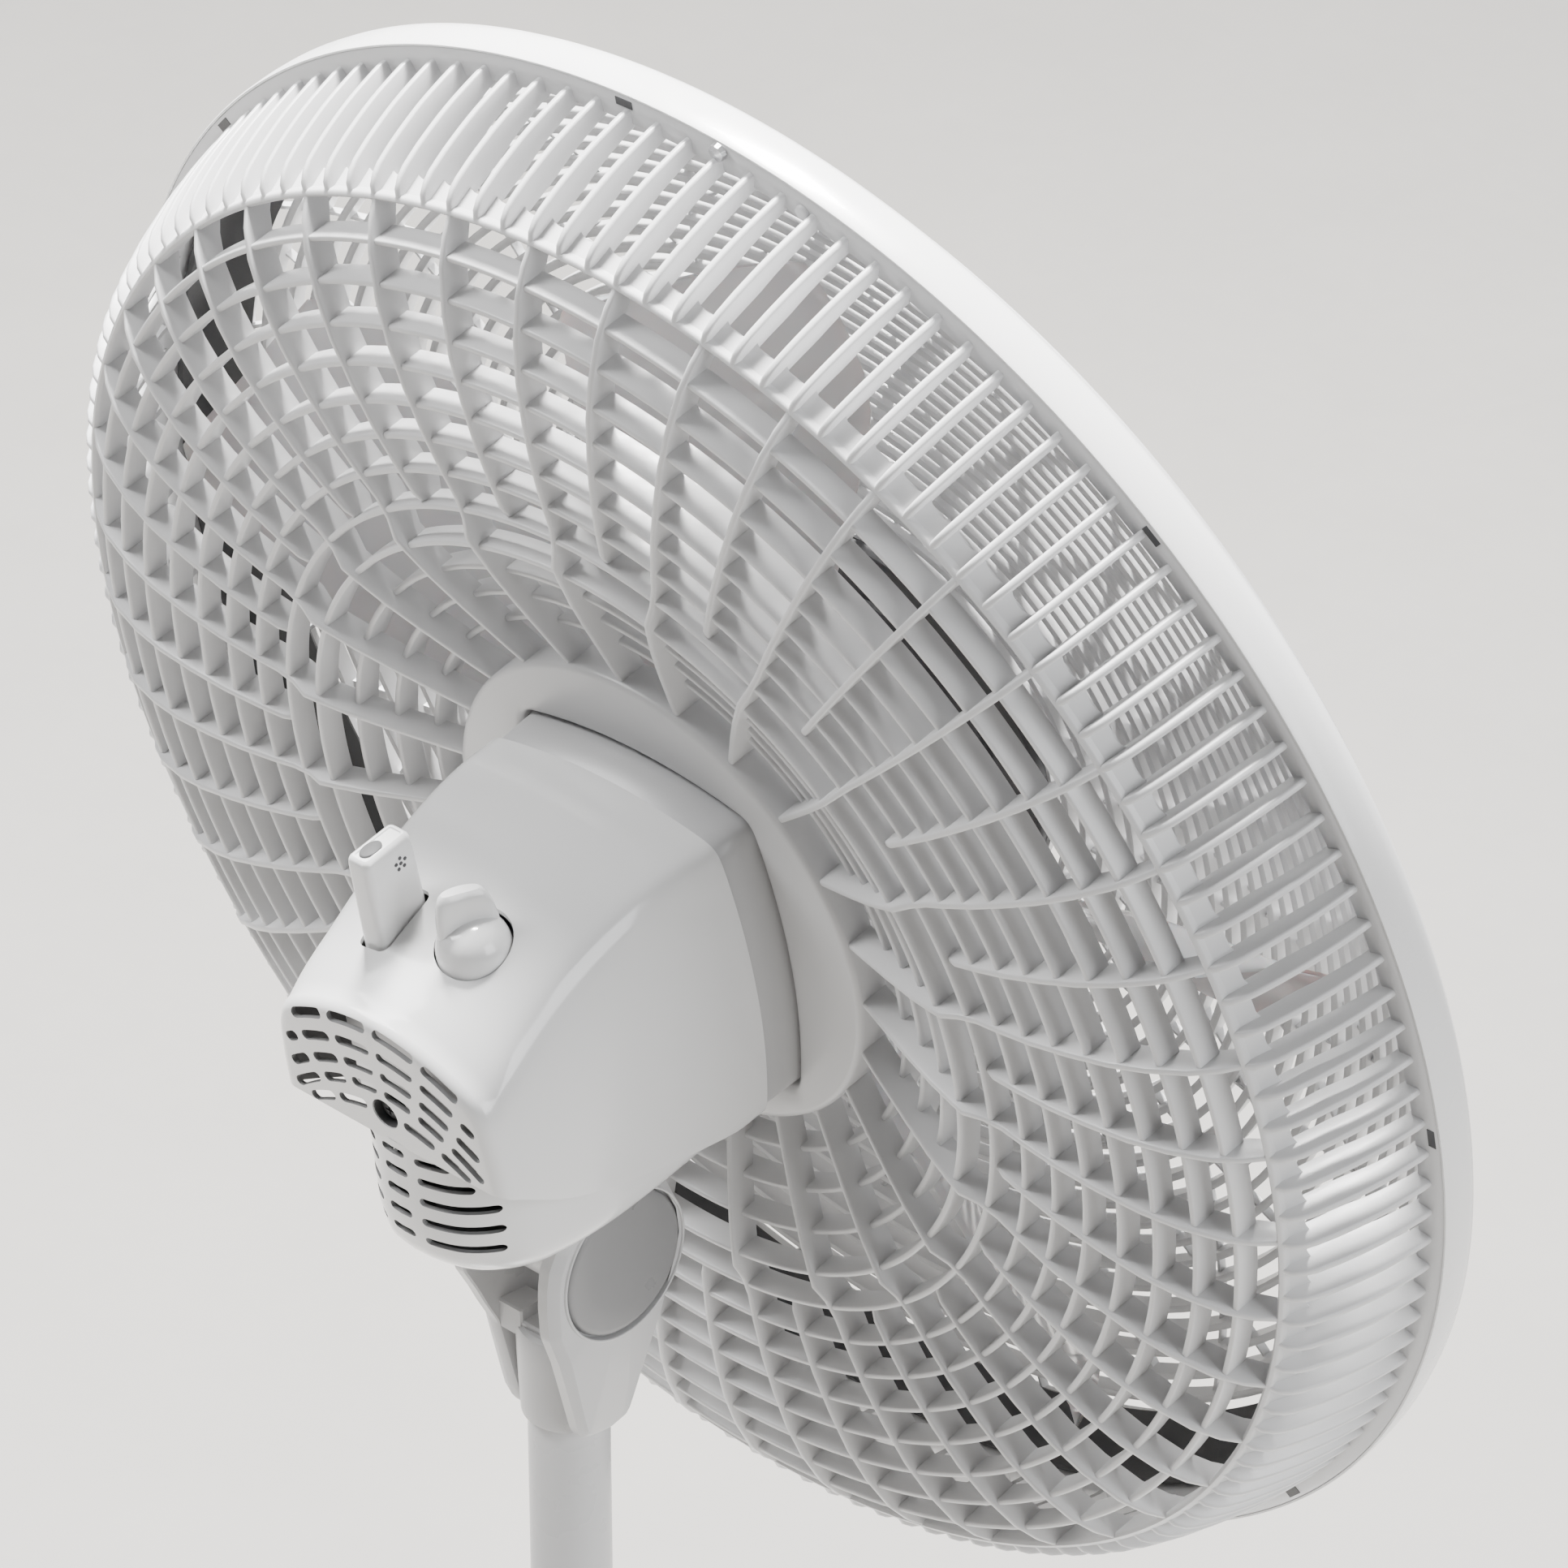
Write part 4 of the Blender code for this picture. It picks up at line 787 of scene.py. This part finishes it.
def build_controls():
    knob = Solid()
    profile = mm([(0, 54.6), (2.2, 54.5), (4.6, 54), (7, 53), (9, 51.4), (10.4, 49.2), (11.2, 46.6),
                  (11.5, 44), (11.5, 40), (11.5, 36), (10.7, 35), (0, 35)])
    knob.rows(lathe(profile, 72), loop=True)
    # grip: a curved fin across the dome, thin at the top and spread at its foot
    rows = []
    for level, half, length, bow in ((0.0440, 0.0048, 0.0096, 0.0004), (0.0500, 0.0042, 0.0096, 0.0006),
                                     (0.0545, 0.0037, 0.0093, 0.0008), (0.0585, 0.0034, 0.0087, 0.0009),
                                     (0.0614, 0.0031, 0.0079, 0.0009), (0.0632, 0.0026, 0.0070, 0.0009),
                                     (0.0641, 0.0018, 0.0060, 0.0009)):
        loop = []
        for k in range(40):
            a = 2 * math.pi * k / 40
            x = half * math.copysign(abs(math.cos(a)) ** 0.8, math.cos(a))
            y = length * math.copysign(abs(math.sin(a)) ** 0.75, math.sin(a))
            x += bow * (1 - 2 * (y / 0.0094) ** 2) + 0.0024
            loop.append((x, y, level + 0.0012 * (y / 0.0094)))
        rows.append(loop)
    knob.rows(rows)
    place = MOTOR @ Matrix.Translation((*KNOB_SPOT, 0)) @ Matrix.Rotation(math.radians(-24), 4, "Z")
    knob.make("speed_knob_dome", "housing", "speed_knob", place=place, replaces=("speed_knob",), sharp=40)

    pull = Solid()
    rows = []
    for level, grow in mm([(30, -1), (30.3, 0), (70, -0.6), (71.6, -0.9), (72.5, -1.4), (73, -2.2),
                           (73, -2.7), (72.6, -3)]):
        loop = rounded_box(0.0052 + grow, 0.0102 + grow, max(0.0008, 0.0030 + grow))
        rows.append([(x, y, level) for x, y in loop])
    pull.rows(rows)
    place = MOTOR @ Matrix.Translation((*PULL_SPOT, 0))
    pull.make("oscillation_post", "housing", "oscillation_pull", place=place, replaces=("oscillation_pull",),
              sharp=32)
    inset = Solid()
    oval = [(0.0026 * x, 0.0040 * y + 0.0030) for x, y in circle(1.0, 48)]
    inset.rows([[(x * g, y * g, z) for x, y in oval] for z, g in
                ((0.0710, 0.96), (0.0728, 1.0), (0.0731, 0.97), (0.0732, 0.90))])
    inset.make("oscillation_post_inset", "inset", "oscillation_pull", place=place, sharp=50)
    marks = Solid()
    ring = [(0.0019 * math.cos(a), 0.0019 * math.sin(a)) for a in np.radians([90, 162, 234, 306, 18])]
    dot = circle(0.00062, 14)
    for dy, dz in [(0.0, 0.0)] + ring:
        marks.rows([[(x, y * g + dy - 0.0030, z * g + dz + 0.0655) for y, z in dot] for x, g in
                    ((-0.0040, 1.0), (-0.00485, 1.0), (-0.00495, 0.7))])
    marks.make("oscillation_post_mark", "inset", "oscillation_pull", place=place, sharp=50)

    place = MOTOR @ Matrix.Translation((0, 0.1136, 0)) @ Matrix.Rotation(math.radians(-90), 4, "X")
    screw_head("rear_screw_head", 0.0042, 0.0016, "screw", "head", place, ("rear_screw",))
    # the cup round the rear screw is near black: painted shade of the screw's recess in the housing
    cup = mm([(0, 0), (4.8, 0), (4.8, 2.9), (5.3, 3.1), (5.3, -0.8), (0, -0.8)])
    turned("rear_screw_seat", cup, "inset", "head", place, steps=48)
    grommet = mm([(3.2, -58.2), (5, -58.2), (5, -60.4), (4.6, -61), (5.2, -61.6), (5.2, -62.8), (4.4, -63.4),
                  (4.8, -64), (4.8, -65), (4, -66.2), (3, -66.5), (2.8, -65.5)])
    turned("cord_inlet_grommet", grommet, "rubber", "head", MOTOR @ Matrix.Translation((*INLET_SPOT, 0)),
           ("cord_grommet",), steps=48)
    nut = Solid()
    section = mm([(17.2, 19), (17.2, 11.4), (25, 11.4), (25.5, 11.9), (25.5, 18.3), (24.9, 19)])
    steps = 144
    rows = []
    for k in range(steps):
        wave = 0.0006 * abs(math.sin(math.radians(360.0 * k / steps) * 12))
        rows.append([polar(r - (wave if r > 0.0240 else 0), 360.0 * k / steps, w) for r, w in section])
    nut.rows(rows, loop=True)
    nut.make("guard_ring_nut", "dark_plastic", "head", place=MOTOR, replaces=("guard_nut",), sharp=40)


# ---------------------------------------------------------------- neck, pole and base
NEAR_EAR = mm([(0, 28.8), (12, 26.2), (20, 20.7), (25.7, 15.2), (28.6, 9.8), (29.7, 3.6), (29.9, -4.4),
               (29.1, -15), (13.2, -59.2), (12.2, -61.2), (11.2, -62.6), (2, -64.2), (-5, -62.6),
               (-6.2, -60.6), (-9.6, -49), (-14.6, -33.6), (-20.6, -18.4), (-24.6, -9.2), (-26.6, 0),
               (-25.2, 10), (-20.4, 19.6), (-11, 26.4), (0, 28.8)])
FAR_EAR = mm([(0, 28.5), (11, 26.2), (20.4, 19.6), (26, 11), (27.5, 0), (25.8, -10.4), (20.6, -19.6),
              (13.2, -34.4), (8, -64), (7, -66.4), (2, -66.4), (-4.2, -61.4), (-5.2, -59), (-9.2, -47.8),
              (-14.3, -33), (-20.4, -18), (-24.4, -9), (-26.6, 0), (-25.2, 10), (-20.4, 19.6), (-11, 26.2),
              (0, 28.5)])


def dense(points, step):
    """Straight runs between points, cut into even steps and lightly rounded at the corners."""
    points = np.array(points, float)
    reach = np.concatenate([[0], np.cumsum(np.linalg.norm(np.diff(points, axis=0), axis=1))])
    where = np.linspace(0, reach[-1], int(reach[-1] / step))
    path = np.stack([np.interp(where, reach, points[:, i]) for i in range(2)], 1)
    for _ in range(6):
        path[1:-1] = 0.5 * path[1:-1] + 0.25 * (path[2:] + path[:-2])
    return path


def ear_loops(points, count=256):
    """Side outline sampled at even angles about the pivot, and a matching unit circle."""
    path = dense(points, 0.0003)
    angles = np.unwrap(np.arctan2(path[:, 1], path[:, 0]))
    reach = np.linalg.norm(path, axis=1)
    wanted = np.linspace(angles[0], angles[-1], count, endpoint=False)
    order = np.argsort(angles)
    radii = np.interp(wanted, angles[order], reach[order])
    unit = np.stack([np.cos(wanted), np.sin(wanted)], 1)
    return unit * radii[:, None], unit


def build_neck():
    neck = Solid()
    for way, points in ((-1, NEAR_EAR), (1, FAR_EAR)):
        side, unit = ear_loops(points)
        length = np.linalg.norm(side, axis=1, keepdims=True)
        rows = []
        for x, loop in ((0.0172, unit * 0.0058), (0.0172, side * (1 - 0.0006 / length)), (0.0178, side),
                        (0.0216, side), (0.0219, side * (1 - 0.0003 / length)),
                        (0.0243, side * (1 - 0.0025 / length)), (0.0245, side * (1 - 0.0029 / length)),
                        (0.0245, unit * 0.0256), (0.0251, unit * 0.0254), (0.0253, unit * 0.0250),
                        (0.0251, unit * 0.0247), (0.0222, unit * 0.0246), (0.0222, unit * 0.0058)):
            rows.append([(way * (x - 0.0045 * max(0.0, (-0.0265 - z) / 0.0350)), y, z) for y, z in loop])
        neck.rows(rows, loop=True)
    sleeve = mm([(13.1, -38.4), (6, -38.4), (6, -31.8), (13.8, -31.8), (15.2, -32.6), (15.8, -34.5),
                 (15.7, -42), (15.3, -52), (14.9, -60), (14.7, -63.6), (14.5, -64.3), (14.1, -64.5),
                 (13.1, -64.5)])
    neck.rows(lathe(sleeve, 96), loop=True)
    for left, right, rear, low, high in ((-0.0176, 0.0176, 0.0122, -0.0362, -0.0302),
                                         (0.0070, 0.0178, 0.0126, -0.0366, -0.0262)):
        loop = [(right, rear - 0.0100), (right, rear), (left + 0.0006, rear), (left, rear - 0.0006),
                (left, rear - 0.0100)]
        neck.rows([[(x, y - t, z) for x, y in loop] for z, t in
                   ((low, 0.0006), (low + 0.0006, 0.0), (high - 0.0006, 0.0), (high, 0.0006))])
    loop = rounded_box(0.0170, 0.0100, 0.0040)
    neck.rows([[(x * g, y * g - 0.0020, z) for x, y in loop] for z, g in
               ((-0.0440, 0.93), (-0.0430, 0.97), (-0.0345, 0.97), (-0.0335, 0.93))])
    neck.make("neck_yoke_body", "neck", "mast", place=MAST, replaces=("neck_yoke",), sharp=28)
    disc = mm([(0, 24.7), (15, 24.8), (21.5, 25), (22.9, 24.8), (23.7, 24.1), (24, 23.2), (24, 22.4),
               (8.8, 22.4), (8.8, 23.2), (0, 23.2)])
    for label, turn in (("right", -90), ("left", 90)):
        place = MAST @ Matrix.Rotation(math.radians(turn), 4, "Y")
        turned("pivot_disc_" + label, disc, "cover", "mast", place, ("pivot_cover_" + label,))
    barrel = mm([(6, -16.4), (14.2, -16.4), (15, -15.6), (15, -9.2), (14.4, -8.8), (14.4, -7.6), (15, -7.2),
                 (15, 7.2), (14.4, 7.6), (14.4, 8.8), (15, 9.2), (15, 15.6), (14.2, 16.4), (6, 16.4)])
    knuckle = Solid()
    knuckle.rows([[(z, x, y) for x, y, z in row] for row in lathe(barrel, 96)], loop=True)
    post = mm([(5.4, 12), (5.4, 23), (10.4, 23), (11.2, 22.2), (12, 16), (12.6, 11), (12.6, 7), (7, 7)])
    knuckle.rows(lathe(post, 72), loop=True)
    arm = circle(0.0030, 32, -0.0130)
    knuckle.rows([[(x, y, 0.0040) for x, y in arm], [(x, y, 0.0486) for x, y in arm],
                  [(x * 0.9 - 0.0013, y * 0.9, 0.0491) for x, y in arm]])
    knuckle.make("tilt_knuckle_body", "neck", "tilt", place=HEAD, replaces=("tilt_knuckle",), sharp=40)
    place = MAST @ Matrix.Translation((0, -0.0148, -0.0540)) @ Matrix.Rotation(math.radians(90), 4, "X")
    screw_head("neck_screw_head", 0.0030, 0.0016, "screw", "mast", place, ("neck_screw",))


def build_stand():
    turned("upper_pole", mm([(12.7, 228.4), (12.7, 787), (12.3, 788), (11.4, 788), (11.4, 228), (12.3, 228)]),
                             "pole", "mast", None, ("upper_tube",))
    turned("lower_pole", mm([(15.9, 17), (15.9, 499.5), (15.5, 500), (14.7, 500), (14.7, 16.5),
                             (15.5, 16.5)]), "pole", "stand", None, ("lower_tube",))
    turned("pole_collar", mm([(18.2, 538), (18.2, 507.2), (22.8, 507), (23.4, 506.4), (23.6, 505.6),
                              (23.6, 501), (23.2, 499), (21.2, 486), (20, 470), (19.6, 464), (19, 462),
                              (16.3, 462), (16.3, 538)]), "neck", "stand", None,
           ("tube_collar",))
    ring = Solid()
    rows = []
    steps = 288
    for k in range(steps):
        a = 2 * math.pi * k / steps
        flute = 0.0011 * max(0.0, math.cos(24 * a)) ** 2
        profile = [(0.0135, 0.5560), (0.0205, 0.5560), (0.0216, 0.5556), (0.0226, 0.5540),
                   (0.0236 - flute, 0.5510), (0.0254 - flute, 0.5300), (0.0261 - flute, 0.5150),
                   (0.0262, 0.5128), (0.0259, 0.5096), (0.0250, 0.5082), (0.0187, 0.5082),
                   (0.0187, 0.5490), (0.0135, 0.5512)]
        rows.append([(r * math.cos(a), r * math.sin(a), z) for r, z in profile])
    ring.rows(rows, loop=True)
    ring.make("height_ring_grip", "housing", "lock_ring", replaces=("height_lock_ring",), sharp=35)
    shell = mm([(16.3, 64), (23.8, 64), (25.4, 63.6), (27.2, 61.8), (28.6, 58.8), (30, 52), (31.8, 45.6),
                (35, 41.6), (42, 38.8), (60, 35.6), (90, 32.2), (93, 31.8), (93.6, 31.1), (94.4, 31.1),
                (95, 31.5), (125, 28), (150, 25), (175, 21.2), (190, 18), (200, 14.4), (206, 10.8),
                (208.8, 7.8), (209.9, 5.2), (209.9, 3.2), (207.6, 3.2), (207, 6), (196, 12.6), (150, 21.6),
                (60, 29.6), (33, 33), (24, 33), (24, 13), (16.3, 13)])
    turned("base_dome", shell, "housing", "stand", None, ("base_shell",), steps=180)
    for index in range(5):
        angle = math.radians(90 + 72 * index)
        foot = mm([(0, 0), (10.4, 0), (11.3, 0.4), (11.8, 1.2), (12, 2.2), (12, 2.6), (0, 2.6)])
        spot = Matrix.Translation((0.180 * math.cos(angle), 0.180 * math.sin(angle), 0))
        number = str(index + 1)
        turned("foot_pad_" + number, foot, "rubber", "stand", spot, ("foot_" + number,), steps=48)


# ---------------------------------------------------------------- unseen parts keep their CAD shape
NODE_LOOKS = {
    "dark_plastic": ("base_plate", "capacitor", "speed_switch"),
    "cast_weight": ("base_weight",),
    "gear_nylon": ("collet", "guard_thread", "worm_gear", "crank_gear", "crank_link"),
    "aluminium": ("gearbox_case", "motor_bracket_front", "motor_bracket_rear"),
    "copper": ("stator_coil_front", "stator_coil_rear"),
}


def dress_cad():
    """Materials of the nodes that no piece replaces; the rest of them are steel."""
    looks = {name: look for look, names in NODE_LOOKS.items() for name in names}
    for name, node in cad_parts.items():
        if not node.hide_render:
            node.data.materials.clear()
            node.data.materials.append(LOOKS[looks.get(name, "steel")])


# ---------------------------------------------------------------- studio
def build_studio():
    mesh = bpy.data.meshes.new("floor")
    verts = [(-9 + 1.5 * i, -9 + 1.5 * j, 0.0) for i in range(13) for j in range(13)]
    corners = [i * 13 + j for i in range(12) for j in range(12)]
    mesh.from_pydata(verts, [], [(a, a + 13, a + 14, a + 1) for a in corners])
    mesh.materials.append(LOOKS["floor"])
    floor = link("floor", mesh)

    world = bpy.data.worlds.new("studio")
    bpy.context.scene.world = world
    world.use_nodes = True
    back = world.node_tree.nodes["Background"]
    back.inputs["Color"].default_value = (1.0, 1.0, 1.0, 1)
    back.inputs["Strength"].default_value = 0.15

    def lamp(name, energy, size, spot, target, colour=(1, 1, 1)):
        light = bpy.data.lights.new(name, "AREA")
        light.energy = energy
        light.size = size
        light.color = colour
        item = link(name, light)
        item.location = spot
        item.rotation_euler = (Vector(target) - Vector(spot)).to_track_quat("-Z", "Y").to_euler()

    lamp("key_above", 860, 0.8, (0.9, -0.8, 4.0), (0, 0, 0.95), (1.0, 0.99, 0.975))
    lamp("rear_soft", 85, 1.2, (1.7, 1.0, 3.0), (0, 0, 0.9))
    lamp("window_side", 62, 1.6, (-2.6, -0.2, 1.9), (0, 0, 0.85), (0.97, 0.985, 1.0))


def build_camera():
    camera = bpy.data.cameras.new("camera")
    camera.lens = 184.0
    camera.sensor_width = 36.0
    camera.clip_start = 0.05
    item = link("camera", camera)
    right = Vector((-0.72723, -0.68640, 0.0)).normalized()
    ahead = Vector((0.58399, -0.61873, -0.52547)).normalized()
    up = right.cross(ahead)
    turn = Matrix((right, up, -ahead)).transposed()
    item.matrix_world = Matrix.Translation((-1.4071, 1.3952, 2.2094)) @ turn.to_4x4()
    bpy.context.scene.camera = item


build_camera()
build_rear_guard()
build_housings()
build_front_guard()
build_blades()
build_controls()
build_neck()
build_stand()
dress_cad()
build_studio()
